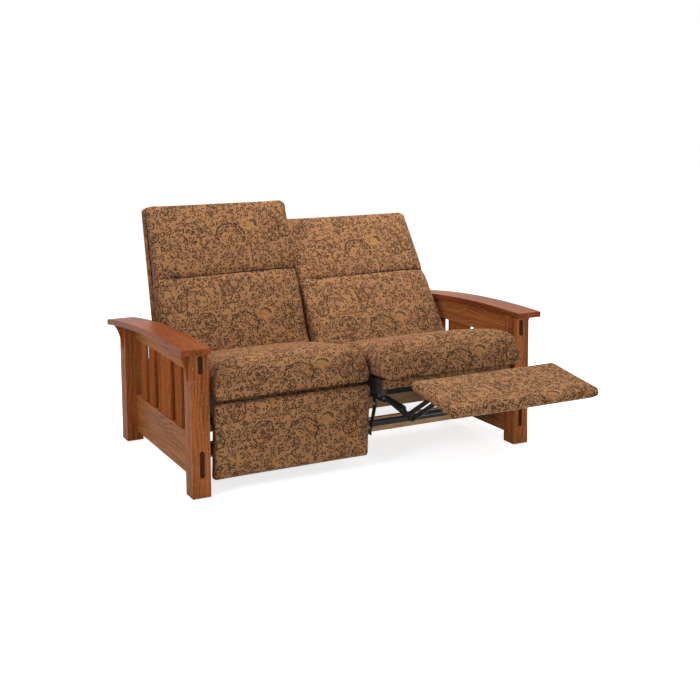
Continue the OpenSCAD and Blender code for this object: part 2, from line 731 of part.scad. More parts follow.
// The pad's own frame: X across, Y down the pad from its upper edge, Z into its depth
module in_pad() translate([0, pad_edge_shut.x, pad_edge_shut.y])
    rotate([pad_lean - 90, 0, 0]) children();

module footrest_brackets(side) color(steel) on_footrest(side) translate([seat_x(side), 0, 0]) {
    low_t = pad_t + board_t;
    s0 = push_pivot_s - link_w / 2;
    s1 = prop_pivot_s + bracket_end;
    both_sides(0) {
        yz_plate(layer_x(4), plate_t) difference() {
            union() {
                polygon([on_pad_shut(s0, low_t), on_pad_shut(s1, low_t),
                    on_pad_shut(s1, bracket_pivot_t), on_pad_shut(s0, bracket_pivot_t)]);
                bar_2d(push_end[0], prop_end[0], link_w);
            }
            hole_2d(push_end[0], pin_clear);
            hole_2d(prop_end[0], pin_clear);
        }
        in_pad() translate([layer_x(4) - bracket_flange, s0, low_t])
            cube([bracket_flange, s1 - s0, plate_t / 2]);
        rivet(prop_end[0], 3, 4, outer_head = false);
    }
}

module footrest_board(side) color(raw_wood) on_footrest(side) translate([seat_x(side), 0, 0])
    in_pad() translate([-seat_w / 2 + board_in, board_in, pad_t])
        cube([seat_w - 2 * board_in, pad_len - 2 * board_in, board_t]);

module footrest_pad(side) color(fabric) on_footrest(side) translate([seat_x(side), 0, 0])
    in_pad() translate([0, pad_len / 2, pad_t]) rotate([180, 0, 0])
        cushion(seat_w / 2, pad_len / 2, pad_t, pad_edge_r, pad_crown, pad_pull);

// Seat

module seat_frame(side) color(raw_wood) on_seat(side) translate([seat_x(side), 0, 0]) {
    z0 = seat_rail_top_z - seat_rail_h;
    front = seat_front_rail_y + seat_rail_t / 2;
    rear = seat_rear_rail_y + seat_rail_t / 2;
    notch_top = back_pivot_z + seat_plate_w / 2;
    both_sides(0) translate([plate_out, front, z0]) cube([seat_rail_t, rear - front, seat_rail_h]);
    difference() {
        translate([-plate_out, rear - seat_rail_t, z0]) cube([2 * plate_out, seat_rail_t, seat_rail_h]);
        both_sides(0) translate([plate_x, rear - seat_rail_t - cut, z0 - cut])
            cube([plate_t + cut, seat_rail_t + 2 * cut, notch_top - z0 + cut]);
    }
}

module seat_front_rail(side) color(fabric) on_seat(side)
    translate([seat_x(side) - plate_out - seat_rail_t, seat_front_rail_y - seat_rail_t / 2,
        seat_rail_top_z - seat_front_rail_h])
        cube([2 * (plate_out + seat_rail_t), seat_rail_t, seat_front_rail_h]);

// One flat zigzag of wire: half loops joined by straight runs across the spring
module spring_2d(length) {
    loops = floor((length - 2 * spring_r) / (2 * spring_r));
    pitch = length / (loops + 1);
    mid_r = pitch / 2;
    for (k = [0 : loops]) translate([0, pitch * (k + 0.5)]) {
        s = k % 2 == 0 ? 1 : -1;
        translate([s * spring_run / 2, 0]) intersection() {
            difference() {
                circle(r = mid_r + spring_wire / 2, $fn = round_fn);
                circle(r = mid_r - spring_wire / 2, $fn = round_fn);
            }
            translate([s > 0 ? 0 : -pitch, -pitch]) square([pitch, 2 * pitch]);
        }
        for (e = [-1, 1]) translate([-spring_run / 2, e * mid_r - spring_wire / 2])
            square([spring_run, spring_wire]);
    }
}

module seat_springs(side) color(steel) on_seat(side) {
    y0 = seat_front_rail_y;
    y1 = seat_rear_rail_y;
    step = 2 * (plate_x - spring_run) / spring_count;
    for (k = [0 : spring_count - 1])
        translate([seat_x(side) + (k - (spring_count - 1) / 2) * step, y0, seat_rail_top_z])
            linear_extrude(spring_wire) spring_2d(y1 - y0);
}

module seat_cushion(side) color(fabric) on_seat(side)
    translate([seat_x(side), (seat_rear_back - seat_front_fwd) / 2, seat_bottom_z])
        cushion(seat_w / 2, (seat_rear_back + seat_front_fwd) / 2, seat_side_h, seat_edge_r, seat_crown,
            seat_pull, seat_fall_share);

// Back

module in_back() translate([0, back_rear, back_pivot_z]) rotate([-back_lean, 0, 0]) children();

frame_y = -cover_t;
frame_low = -30;
frame_top = back_h - 2 * cover_t;
module back_frame(side) color(raw_wood) on_back(side) translate([seat_x(side), 0, 0]) in_back() {
    post_x = layer_x(1) + plate_t;
    translate([0, frame_y - back_frame_t, 0]) {
        both_sides(0) translate([post_x, 0, frame_low])
            cube([back_post_w, back_frame_t, frame_top - frame_low]);
        for (z = [cover_low, back_rail_at - back_post_w / 2, frame_top - back_post_w])
            translate([-post_x, 0, z]) cube([2 * post_x, back_frame_t, back_post_w]);
    }
}

module back_cushion(side) color(fabric) on_back(side) translate([seat_x(side), 0, 0]) in_back() {
    mid = -(back_core + back_deep) / 2;
    rings = back_rings();
    loft(rings, [0, mid, back_low], [0, -(back_core + back_top_deep) / 2, back_h]);
}

module back_cover(side) color(fabric) on_back(side) translate([seat_x(side), 0, 0]) in_back()
    difference() {
        translate([-back_w / 2, -back_core + soft_gap, cover_low])
            cube([back_w, back_core - soft_gap, back_h - cover_low]);
        translate([-back_w / 2 + cover_t, -back_core - cut, cover_low - cut])
            cube([back_w - 2 * cover_t, back_core + cut - cover_t, back_h - cover_t - cover_low + cut]);
    }

bracket_arm = 18;
bracket_top = cover_low - plate_t;
module back_brackets(side) color(steel) on_back(side) both_sides(seat_x(side))
    yz_plate(layer_x(1), plate_t) difference() {
        hinge = turned(back_pivot - [back_rear, back_pivot_z], back_lean);
        rear = frame_y;
        front = frame_y - back_frame_t;
        translate([back_rear, back_pivot_z]) rotate(-back_lean) union() {
            bar_2d(hinge, [front, hinge.y + bracket_arm], 2 * bracket_arm);
            translate([front, hinge.y]) square([back_frame_t, bracket_top - hinge.y]);
        }
        hole_2d(back_pivot, pin_clear);
    }

leg(left, -1);  // left_front_leg
leg(left, 1);  // left_rear_leg
leg(right, -1);  // right_front_leg
leg(right, 1);  // right_rear_leg
arm(left);  // left_arm
arm(right);  // right_arm
top_rail(left);  // left_top_rail
top_rail(right);  // right_top_rail
low_rail(left);  // left_low_rail
low_rail(right);  // right_low_rail
slats(left);  // left_slats
slats(right);  // right_slats
corbels();
tenons();
foot_glides();
rear_rail();
cross_rails();
base_tubes();

base_plates(left);  // left_base_plates
base_rivets(left);  // left_base_rivets
rear_swing_links(left);  // left_rear_swing_links
front_swing_links(left);  // left_front_swing_links
seat_plates(left);  // left_seat_plates
seat_rivets(left);  // left_seat_rivets
lift_links(left);  // left_lift_links
guide_links(left);  // left_guide_links
push_links(left);  // left_push_links
prop_links(left);  // left_prop_links
footrest_brackets(left);  // left_footrest_brackets
footrest_board(left);  // left_footrest_board
footrest_pad(left);  // left_footrest_pad
seat_frame(left);  // left_seat_frame
seat_front_rail(left);  // left_seat_front_rail
seat_springs(left);  // left_seat_springs
seat_cushion(left);  // left_seat_cushion
back_frame(left);  // left_back_frame
back_cushion(left);  // left_back_cushion
back_cover(left);  // left_back_cover
back_brackets(left);  // left_back_brackets

base_plates(right);  // right_base_plates
base_rivets(right);  // right_base_rivets
rear_swing_links(right);  // right_rear_swing_links
front_swing_links(right);  // right_front_swing_links
seat_plates(right);  // right_seat_plates
seat_rivets(right);  // right_seat_rivets
lift_links(right);  // right_lift_links
guide_links(right);  // right_guide_links
push_links(right);  // right_push_links
prop_links(right);  // right_prop_links
footrest_brackets(right);  // right_footrest_brackets
footrest_board(right);  // right_footrest_board
footrest_pad(right);  // right_footrest_pad
seat_frame(right);  // right_seat_frame
seat_front_rail(right);  // right_seat_front_rail
seat_springs(right);  // right_seat_springs
seat_cushion(right);  // right_seat_cushion
back_frame(right);  // right_back_frame
back_cushion(right);  // right_back_cushion
back_cover(right);  // right_back_cover
back_brackets(right);  // right_back_brackets
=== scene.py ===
# %% [markdown]
# # A reclining loveseat in oak and patterned fabric
# The settee has two seats between slatted oak sides. The left seat is shut and upright. The right one is open:
# its seat has glided forward, its back leans and its footrest is out on black links.
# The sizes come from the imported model, so this script only dresses it: it eases the edges of the wood, stuffs
# the cushions, and makes the finishes from nodes.
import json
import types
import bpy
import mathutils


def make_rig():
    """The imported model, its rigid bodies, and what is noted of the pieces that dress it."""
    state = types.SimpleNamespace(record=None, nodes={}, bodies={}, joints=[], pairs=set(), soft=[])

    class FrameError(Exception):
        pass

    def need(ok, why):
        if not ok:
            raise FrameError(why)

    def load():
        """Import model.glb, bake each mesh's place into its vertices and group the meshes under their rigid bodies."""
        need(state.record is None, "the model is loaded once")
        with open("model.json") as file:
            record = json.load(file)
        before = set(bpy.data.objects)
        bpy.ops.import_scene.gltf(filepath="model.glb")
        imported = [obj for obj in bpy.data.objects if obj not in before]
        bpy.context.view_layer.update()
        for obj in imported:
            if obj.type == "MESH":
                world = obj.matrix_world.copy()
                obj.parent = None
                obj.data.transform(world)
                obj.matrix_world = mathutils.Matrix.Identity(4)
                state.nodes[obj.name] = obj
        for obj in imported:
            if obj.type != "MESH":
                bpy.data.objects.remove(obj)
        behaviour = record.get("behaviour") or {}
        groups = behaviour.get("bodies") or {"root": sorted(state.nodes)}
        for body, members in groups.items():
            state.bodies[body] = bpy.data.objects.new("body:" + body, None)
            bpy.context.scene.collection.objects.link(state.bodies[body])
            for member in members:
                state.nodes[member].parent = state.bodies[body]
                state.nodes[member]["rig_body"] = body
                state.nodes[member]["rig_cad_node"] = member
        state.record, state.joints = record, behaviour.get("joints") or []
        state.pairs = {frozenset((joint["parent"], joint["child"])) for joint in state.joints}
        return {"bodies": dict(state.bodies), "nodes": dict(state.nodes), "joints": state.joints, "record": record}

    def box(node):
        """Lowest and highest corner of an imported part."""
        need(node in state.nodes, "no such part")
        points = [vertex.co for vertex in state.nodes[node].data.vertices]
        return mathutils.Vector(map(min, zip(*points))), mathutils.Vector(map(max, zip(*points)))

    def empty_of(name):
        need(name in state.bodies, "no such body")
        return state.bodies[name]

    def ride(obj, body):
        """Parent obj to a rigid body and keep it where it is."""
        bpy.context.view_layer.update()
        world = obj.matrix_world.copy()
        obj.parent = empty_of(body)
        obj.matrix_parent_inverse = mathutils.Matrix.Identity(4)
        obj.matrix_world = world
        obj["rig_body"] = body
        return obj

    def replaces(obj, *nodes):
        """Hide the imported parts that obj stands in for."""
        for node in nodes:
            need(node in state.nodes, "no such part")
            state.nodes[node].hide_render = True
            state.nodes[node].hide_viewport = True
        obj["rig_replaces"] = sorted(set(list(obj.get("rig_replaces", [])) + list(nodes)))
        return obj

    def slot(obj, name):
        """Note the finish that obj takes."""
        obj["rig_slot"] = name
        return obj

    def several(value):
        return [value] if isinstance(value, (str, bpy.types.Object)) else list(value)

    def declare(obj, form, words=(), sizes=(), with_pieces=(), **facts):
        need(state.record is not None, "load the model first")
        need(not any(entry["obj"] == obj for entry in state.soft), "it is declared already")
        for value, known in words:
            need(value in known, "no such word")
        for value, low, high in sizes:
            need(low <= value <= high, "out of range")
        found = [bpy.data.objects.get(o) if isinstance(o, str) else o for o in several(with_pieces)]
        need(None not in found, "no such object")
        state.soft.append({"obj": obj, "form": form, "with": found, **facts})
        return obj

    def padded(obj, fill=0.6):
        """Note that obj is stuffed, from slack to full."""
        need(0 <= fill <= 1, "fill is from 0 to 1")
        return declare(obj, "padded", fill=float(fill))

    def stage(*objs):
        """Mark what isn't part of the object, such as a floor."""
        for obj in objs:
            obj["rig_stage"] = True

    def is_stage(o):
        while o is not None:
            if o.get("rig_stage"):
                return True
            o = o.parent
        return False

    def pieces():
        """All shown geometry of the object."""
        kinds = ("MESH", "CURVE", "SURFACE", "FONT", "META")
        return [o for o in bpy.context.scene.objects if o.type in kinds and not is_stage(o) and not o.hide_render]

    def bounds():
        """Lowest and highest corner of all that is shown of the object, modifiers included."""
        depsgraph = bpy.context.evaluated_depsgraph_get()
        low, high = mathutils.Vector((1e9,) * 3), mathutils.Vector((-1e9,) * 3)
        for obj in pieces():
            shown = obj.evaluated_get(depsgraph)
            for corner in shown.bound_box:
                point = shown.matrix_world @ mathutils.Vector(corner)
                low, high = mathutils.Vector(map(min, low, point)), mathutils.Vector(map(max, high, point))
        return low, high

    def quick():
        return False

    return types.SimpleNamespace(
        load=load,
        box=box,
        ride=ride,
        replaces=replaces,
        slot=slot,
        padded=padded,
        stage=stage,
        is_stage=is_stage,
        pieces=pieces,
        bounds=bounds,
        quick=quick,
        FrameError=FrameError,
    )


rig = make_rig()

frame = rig.load()

import json
import math

import bmesh
import bpy
import numpy as np
from mathutils import Matrix, Vector
from mathutils.bvhtree import BVHTree

nodes = frame["nodes"]
cad_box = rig.bounds()
print("settee box in metres:", [[round(v, 3) for v in c] for c in cad_box])

# %% [markdown]
# ## One seat made, two seats shown
# Both seats are the same piece of furniture at different settings. Every joint's place is in the record, so a
# left piece becomes the right one by a turn about that joint and a shift. The cushions are then stuffed once.

# %% Turn a left piece into the right one
joint_at = {j["name"]: Vector(j["pos_m"]) for j in frame["joints"]}


def swap_to_right(joint, degrees):
    """The move that takes a left piece to the right seat's pose."""
    return (Matrix.Translation(joint_at["right_" + joint]) @ Matrix.Rotation(math.radians(-degrees), 4, "X")
            @ Matrix.Translation(-joint_at["left_" + joint]))


seat_swap = swap_to_right("recline", 3.0)
back_swap = swap_to_right("back_lean", 15.0)
footrest_swap = swap_to_right("footrest_turn", 85.8)
left_corner = seat_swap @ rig.box("left_seat_cushion")[0]
print("seat swap puts the left corner at", [round(v, 3) for v in left_corner])

# %% [markdown]
# ## Wiring helper
# A finish is a chain of small sums on the surface's coordinates. Written node by node it is long, so a node's
# output is wrapped as a value that can be added and multiplied, and each operation places its own Math node. Each
# formula then reads as a line of arithmetic.

# %% Node wiring helper


class Value:
    """A node's output used like a number. a | b is the larger of the two and a & b the smaller, so masks are
    joined with | and cut each other with *."""

    def __init__(self, wires, socket):
        self.wires, self.socket = wires, socket

    def step(self, low, high, to_low=0.0, to_high=1.0):
        """Goes smoothly from to_low to to_high as the value goes from low to high."""
        made = self.wires.add("ShaderNodeMapRange", interpolation_type="SMOOTHSTEP")
        for socket, v in zip(made.inputs[:5], (self, low, high, to_low, to_high)):
            self.wires.put(socket, v)
        return Value(self.wires, made.outputs[0])


for mark, op in (("add", "ADD"), ("sub", "SUBTRACT"), ("mul", "MULTIPLY"), ("truediv", "DIVIDE"), ("or", "MAXIMUM"),
                 ("and", "MINIMUM")):
    setattr(Value, f"__{mark}__", lambda a, b, op=op: a.wires.sum(op, a, b))
    setattr(Value, f"__r{mark}__", lambda a, b, op=op: a.wires.sum(op, b, a))
for mark, op in (("__abs__", "ABSOLUTE"), ("sine", "SINE"), ("root", "SQRT"), ("fract", "FRACT"),
                 ("arctan2", "ARCTAN2")):
    setattr(Value, mark, lambda a, *b, op=op: a.wires.sum(op, a, *b))


class Wires:
    """Adds nodes to one tree and joins them."""

    def __init__(self, tree):
        self.tree = tree

    def add(self, kind, **settings):
        made = self.tree.nodes.new(kind)
        for name, value in settings.items():
            setattr(made, name, value)
        return made

    def put(self, socket, value):
        value = value.socket if isinstance(value, Value) else value
        if isinstance(value, bpy.types.NodeSocket):
            self.tree.links.new(value, socket)
        elif value is not None:
            socket.default_value = value

    def fill(self, sockets, **values):
        """Puts each value on the socket of its name, where _ stands for a space."""
        for name, value in values.items():
            self.put(sockets[name.replace("_", " ")], value)

    def outs(self, node):
        return {socket.name: Value(self, socket) for socket in node.outputs}

    def sum(self, op, a, b=0.0, clamp=False):
        made = self.add("ShaderNodeMath", operation=op, use_clamp=clamp)
        self.put(made.inputs[0], a)
        self.put(made.inputs[1], b)
        return Value(self, made.outputs[0])

    def vec(self, op, a, b=(0.0, 0.0, 0.0), scale=None):
        made = self.add("ShaderNodeVectorMath", operation=op)
        self.put(made.inputs[0], a)
        if scale is None:
            self.put(made.inputs[1], b)
        else:
            self.put(made.inputs["Scale"], scale)
        return Value(self, made.outputs["Value" if op in ("LENGTH", "DOT_PRODUCT") else 0])

    def parts(self, v):
        made = self.add("ShaderNodeSeparateXYZ")
        self.put(made.inputs[0], v)
        return list(self.outs(made).values())

    def join(self, x=0.0, y=0.0, z=0.0):
        made = self.add("ShaderNodeCombineXYZ")
        for socket, value in zip(made.inputs, (x, y, z)):
            self.put(socket, value)
        return Value(self, made.outputs[0])

    def mix(self, share, a, b):
        made = self.add("ShaderNodeMix", data_type="RGBA")
        for slot, value in ((0, share), (6, a), (7, b)):
            self.put(made.inputs[slot], value)
        return Value(self, made.outputs[2])

    def noise(self, v, scale, detail=2.0, rough=0.5, out=0, dims="3D"):
        made = self.add("ShaderNodeTexNoise", noise_dimensions=dims)
        self.fill(made.inputs, Vector=v, Scale=scale, Detail=detail, Roughness=rough)
        return Value(self, made.outputs[out])

    def cells(self, v, scale, random=1.0):
        made = self.add("ShaderNodeTexVoronoi", voronoi_dimensions="2D")
        self.fill(made.inputs, Vector=v, Scale=scale, Randomness=random)
        return self.outs(made)

    def group(self, tree, **inputs):
        made = self.add("ShaderNodeGroup", node_tree=tree)
        self.fill(made.inputs, **inputs)
        return self.outs(made)

    def attribute(self, name):
        return Value(self, self.add("ShaderNodeAttribute", attribute_name=name).outputs["Fac"])

    def run(self, kind, **inputs):
        """Adds a node that has no settings, fills its inputs and gives its first output."""
        made = self.add(kind)
        self.fill(made.inputs, **inputs)
        return Value(self, made.outputs[0])

    def bump(self, height, distance, strength):
        return self.run("ShaderNodeBump", Height=height, Distance=distance, Strength=strength)


def colour(r, g, b):
    """A colour read off a screen, from 0 to 255, as the linear colour that a shader wants."""
    return tuple((v / 255 / 12.92 if v / 255 <= 0.04045 else ((v / 255 + 0.055) / 1.055) ** 2.4)
                 for v in (r, g, b)) + (1.0,)


def new_group(name, inputs, outputs, kind="Shader"):
    """An empty tree. inputs maps a name to its default: a number, a point or a colour, or else the word Geometry or
    Material. outputs maps a name to 1, 3 or 4 for these three, or to the word."""
    tree = bpy.data.node_groups.new(name, kind + "NodeTree")
    sorts = {1: "Float", 3: "Vector", 4: "Color"}
    for label, value in inputs.items():
        sort = value if isinstance(value, str) else sorts[len(value) if isinstance(value, tuple) else 1]
        socket = tree.interface.new_socket(label, in_out="INPUT", socket_type="NodeSocket" + sort)
        if sort != value:
            socket.default_value = value
    for label, sort in outputs.items():
        tree.interface.new_socket(label, in_out="OUTPUT", socket_type="NodeSocket" + sorts.get(sort, str(sort)))
    wires = Wires(tree)
    return tree, wires, wires.outs(wires.add("NodeGroupInput")), wires.add("NodeGroupOutput").inputs


def new_material(name):
    """A material with its Principled shader, ready to be wired."""
    made = bpy.data.materials.new(name)
    made.use_nodes = True
    wires = Wires(made.node_tree)
    return made, wires, made.node_tree.nodes["Principled BSDF"].inputs


# %% [markdown]
# ## Wood grain
# The frame is quarter-sawn oak under a reddish stain. Stain sinks into the open pores and leaves the hard ray
# flecks lighter. One group draws all three things: slow growth bands, thin dark pores that run with the board,
# and short pale flecks across it. The bands and pores are noise stretched along the grain, and each board's
# material says which way that is.

# %% Grain group
TURN = 6.283
grain, w, gi, go = new_group("board_grain", {"Vector": (0.0, 0.0, 0.0), "Dark": (0.1, 0.03, 0.01, 1.0),
    "Light": (0.3, 0.1, 0.04, 1.0), "Fleck": (0.4, 0.2, 0.1, 1.0), "Band size": 60.0, "Fleck amount": 0.3,
    "Pore depth": 0.5}, {"Color": 4, "Roughness": 1, "Height": 1})
x, y, z = w.parts(gi["Vector"])
wander = w.noise(w.join(x, y, z * 0.3), 7.0, 2.0)
across = x + (y * 0.8 + wander * 0.12)
band = (across * (gi["Band size"] * TURN)).sine()
slow = w.noise(w.join(x, y, z * 0.08), 22.0, 3.0)
streak = w.noise(w.join(x * 26.0, y * 26.0, z), 14.0, 3.0, 0.65)
pore = streak.step(0.56, 0.68)
flecks = w.noise(w.join(x * 3.0, y * 3.0, z * 1.6), 46.0, 1.0)
fleck = flecks.step(0.60, 0.67) * gi["Fleck amount"]
tone = (band * 0.5 + 0.5) * 0.35 + slow.step(0.25, 0.75) * 0.65
base = w.mix(tone, gi["Dark"], gi["Light"])
base = w.mix(fleck, base, gi["Fleck"])
base = w.mix(pore * gi["Pore depth"], base, gi["Dark"])
w.fill(go, Color=base, Roughness=pore * 0.15 + slow * 0.08, Height=tone * 0.2 - pore * 0.8)
print("grain group:", len(grain.nodes), "nodes")

# %% [markdown]
# ## Worn edges
# Stain and enamel wear first along edges. The Bevel node gives the normal that a rounded edge would have. Where
# it turns away from the face's own normal, an edge is near, and the group puts that out as a mask, broken by
# noise so that it doesn't look drawn with a ruler.

# %% Edge wear group
edge_wear, w, gi, go = new_group("edge_wear", {"Vector": (0.0, 0.0, 0.0), "Width": 0.003}, {"Mask": 1})
rounded = w.add("ShaderNodeBevel", samples=4)
w.put(rounded.inputs["Radius"], gi["Width"])
facing = w.vec("DOT_PRODUCT", rounded.outputs[0], w.add("ShaderNodeNewGeometry").outputs["Normal"])
broken = w.noise(gi["Vector"], 55.0, 3.0).step(0.35, 0.65, 0.25, 1.0)
w.put(go["Mask"], w.sum("MULTIPLY", facing.step(0.995, 0.86), broken, clamp=True))

# %% [markdown]
# ## Wood finishes
# The stained oak carries a thin satin lacquer: it hardly shines from the front and gleams where an arm is seen
# along its length. The rails that hold the steelwork are bare wood. The seats' own frames are bare wood coloured
# nearly black as painted shade, so that they don't show through the slats and the gaps but read as shade.

# %% Oak, bare wood and board


def tones(dark, light, fleck):
    return dict(Dark=colour(*dark), Light=colour(*light), Fleck=colour(*fleck))


OAK_TONES = tones((96, 48, 24), (166, 98, 54), (194, 130, 78))


def with_grain(w, along):
    """Object coordinates in the order that puts the grain on the last one."""
    place = w.add("ShaderNodeTexCoord").outputs["Object"]
    x, y, z = w.parts(place)[:3]
    return place, {"x": w.join(y, z, x), "y": w.join(x, z, y), "z": w.join(x, y, z)}[along]


def stained_oak(name, along, stain=OAK_TONES, fleck=0.35, gloss=0.02):
    made, w, skin = new_material(name)
    place, v = with_grain(w, along)
    wood = w.group(grain, Vector=v, Band_size=60.0, Fleck_amount=fleck, Pore_depth=0.6, **stain)
    worn = w.group(edge_wear, Vector=place, Width=0.0035)["Mask"]
    w.fill(skin, Base_Color=w.mix(worn * 0.4, wood["Color"], stain["Fleck"]), Roughness=wood["Roughness"] + 0.32,
           Normal=w.bump(wood["Height"], 0.0005, 0.5), Specular_IOR_Level=gloss)
    return made


def bare_wood(name, along, dark, light):
    made, w, skin = new_material(name)
    place, v = with_grain(w, along)
    wood = w.group(grain, Vector=v, Dark=dark, Light=light, Fleck=light, Band_size=38.0, Fleck_amount=0.1,
                   Pore_depth=0.35)
    w.fill(skin, Base_Color=wood["Color"], Roughness=wood["Roughness"] + 0.6,
           Normal=w.bump(wood["Height"], 0.0008, 0.6))
    return made


oak_up = stained_oak("stained_oak_legs", "z")
oak_cross = stained_oak("stained_oak_rear_rail", "x")
oak_slat = stained_oak("stained_oak_slats", "z", tones((116, 60, 29), (164, 94, 49), (182, 116, 66)), gloss=0.0)
oak_rail = stained_oak("stained_oak_rails", "y", tones((112, 62, 30), (176, 110, 60), (200, 142, 88)))
oak_fore = stained_oak("stained_oak_arms", "y", tones((84, 38, 18), (142, 76, 38), (174, 106, 58)), gloss=0.05)
oak_dark = stained_oak("dark_oak_tenons", "z", tones((34, 20, 14), (66, 38, 24), (92, 58, 38)), 0.15)
raw_cross = bare_wood("bare_rails", "x", colour(168, 122, 78), colour(216, 178, 130))
# The seat frames are coloured near black as painted shade for the dark inside of the seats.
shade_painted_frame_wood = bare_wood("dark_seat_frames", "z", colour(30, 22, 18), colour(52, 38, 30))

# %% [markdown]
# ## Board edge
# The footrest board is plywood. Its face is one veneer and its edge shows the plies, so the edge needs to know
# how deep in the board it is. The piece carries that as an attribute, and the finish turns it into stripes.

# %% Plywood
PLY_PAIR = 0.0048
plywood, w, skin = new_material("footrest_plywood")
place, v = with_grain(w, "x")
veneer = w.group(grain, Vector=v, Dark=colour(170, 128, 84), Light=colour(214, 176, 128), Fleck=colour(222, 190, 146),
                 Band_size=14.0, Fleck_amount=0.1, Pore_depth=0.3)
ply = (w.attribute("board_depth") * (TURN / PLY_PAIR)).sine().step(-0.2, 0.3)
w.fill(skin, Base_Color=w.mix(ply * 0.45, veneer["Color"], colour(120, 84, 52)), Roughness=veneer["Roughness"] + 0.6,
       Normal=w.bump(veneer["Height"], 0.0006, 0.6))

# %% [markdown]
# ## Steel and plastic
# The links are flat steel in black enamel, which is never quite smooth: it pools a little and rubs off on the
# corners. The rivets and screws are zinc plated, and the springs are oiled wire.

# %% Enamel, zinc, spring wire and plastic


def metal(name, shade, metallic, rough, worn_to=None, peel=0.0002, specular=0.5):
    made, w, skin = new_material(name)
    place = w.add("ShaderNodeTexCoord").outputs["Object"]
    cloud = w.noise(place, 38.0, 4.0)
    tint = w.mix(cloud.step(0.3, 0.75), shade, tuple(min(1.0, c * 1.5 + 0.004) for c in shade[:3]) + (1.0,))
    if worn_to:
        worn = w.group(edge_wear, Vector=place, Width=0.0012)["Mask"]
        tint = w.mix(worn * 0.5, tint, worn_to)
    w.fill(skin, Base_Color=tint, Metallic=metallic, Specular_IOR_Level=specular, Roughness=cloud * 0.22 + rough,
           Normal=w.bump(w.noise(place, 420.0, 2.0), peel, 0.5))
    return made


enamel = metal("black_enamel", colour(15, 15, 16), 0.0, 0.40, colour(70, 68, 66), specular=0.22)
zinc = metal("zinc_plate", colour(176, 178, 182), 1.0, 0.22)
wire = metal("oiled_wire", colour(92, 92, 96), 1.0, 0.3)
plastic = metal("glide_plastic", colour(32, 32, 33), 0.0, 0.42)

# %% [markdown]
# ## The fabric
# The cushions wear a flat-woven upholstery cloth with an old paisley and flower pattern: short leaf strokes and
# hooks in dark brown all over a tan ground, with arches of petals and pairs of leaves between them. A picture
# would be quicker, but a drawn pattern stays sharp at any distance. Marks that recur without a fixed repeat are
# drawn once in their own small frame and scattered with Voronoi cells. A group gives that frame: each point's
# place in its cell, turned by the cell's own angle.

# %% Scattered frame group
scatter, w, gi, go = new_group("scattered_frame", {"Vector": (0.0, 0.0, 0.0), "Scale": 60.0, "Random": 0.9},
                               {"Vector": 3, "Draw": 4})
spot = w.cells(gi["Vector"], gi["Scale"], gi["Random"])
spin = w.add("ShaderNodeVectorRotate", rotation_type="Z_AXIS")
w.fill(spin.inputs, Vector=w.vec("SUBTRACT", gi["Vector"], spot["Position"]), Angle=w.parts(spot["Color"])[0] * TURN)
w.fill(go, Vector=spin.outputs[0], Draw=spot["Color"])

# %% [markdown]
# The leaf is a teardrop: a circle below and a point above, bent a little to one side. Its level is 1 on the
# outline and smaller inside, so a line is drawn where the level passes a chosen value.

# %% Teardrop group
teardrop, w, gi, go = new_group("paisley_teardrop", {"Vector": (0.0, 0.0, 0.0), "Size": 0.05, "Bend": 0.3},
                                {"Level": 1, "Across": 1, "Along": 1})
x, y = w.parts(w.vec("SCALE", gi["Vector"], scale=1.0 / gi["Size"]))[:2]
rise, fall = y | 0.0, y & 0.0
bent = x - rise * rise * gi["Bend"]
round_part = (bent * bent + fall * fall).root()
w.fill(go, Level=round_part + rise * 0.45, Across=bent, Along=y)

# %% [markdown]
# The pattern group lays down the ground, then gathers every mark into one mask of ink. Ground first in three
# close browns, because the yarn was dyed in patches.

# %% Pattern group: ground
TAN, GOLD, CLAY = colour(166, 119, 82), colour(172, 124, 79), colour(158, 112, 79)
INK, MAROON, OLIVE = colour(30, 20, 16), colour(70, 34, 27), colour(46, 46, 36)
pattern, w, gi, go = new_group("paisley_cloth", {"Vector": (0.0, 0.0, 0.0)}, {"Color": 4, "Height": 1})
sway = w.vec("SUBTRACT", w.noise(gi["Vector"], 17.0, 1.0, out=1, dims="2D"), (0.5, 0.5, 0.5))
v = w.vec("MULTIPLY", w.vec("ADD", gi["Vector"], w.vec("SCALE", sway, scale=0.018)), (1.0, 1.0, 0.0))


def line_at(level, value, half):
    """1 on a thin line where level equals value."""
    return abs(level - value).step(half, half * 0.5)


patch = w.noise(v, 12.0, 2.0, 0.6, dims="2D")
cloth = w.mix(patch.step(0.38, 0.54), CLAY, TAN)
cloth = w.mix(patch.step(0.54, 0.70), cloth, GOLD)

# %% [markdown]
# Small marks: leaf strokes about every 18 mm, petalled hooks with a seed about every 37 mm, and a wandering
# broken line between them.

# %% Pattern group: small marks
leafy = w.group(scatter, Vector=v, Scale=54.0, Random=0.9)
px, py = w.parts(leafy["Vector"])[:2]
draw = w.parts(leafy["Draw"])
curve = px - py * py * 70.0
taper = abs(py) * 0.28 + abs(curve)
strokes = taper.step(0.0043, 0.0033) * abs(py).step(0.0066, 0.0052) * draw[1].step(0.18, 0.20)
hooked = w.group(scatter, Vector=w.vec("ADD", v, (3.3, 7.1, 0.0)), Scale=27.0, Random=0.8)
hx = w.parts(hooked["Vector"])[0]
reach = w.vec("LENGTH", hooked["Vector"])
swell = 0.0085 + w.parts(hooked["Draw"])[1] * 0.0045
lobes = (w.parts(hooked["Vector"])[1].arctan2(hx) * 4.0).sine() * 0.0014
hooks = line_at(reach + lobes, swell, 0.0034) * (hx / (reach + 0.0001)).step(0.62, 0.45)
seeds = reach.step(0.0042, 0.0030)
outline = w.noise(v, 21.0, 1.0, 0.5, dims="2D")
dash = w.noise(v, 70.0, 1.0, dims="2D").step(0.46, 0.52, 0.0, 0.8)
wander = line_at(outline, 0.5, 0.030) * dash

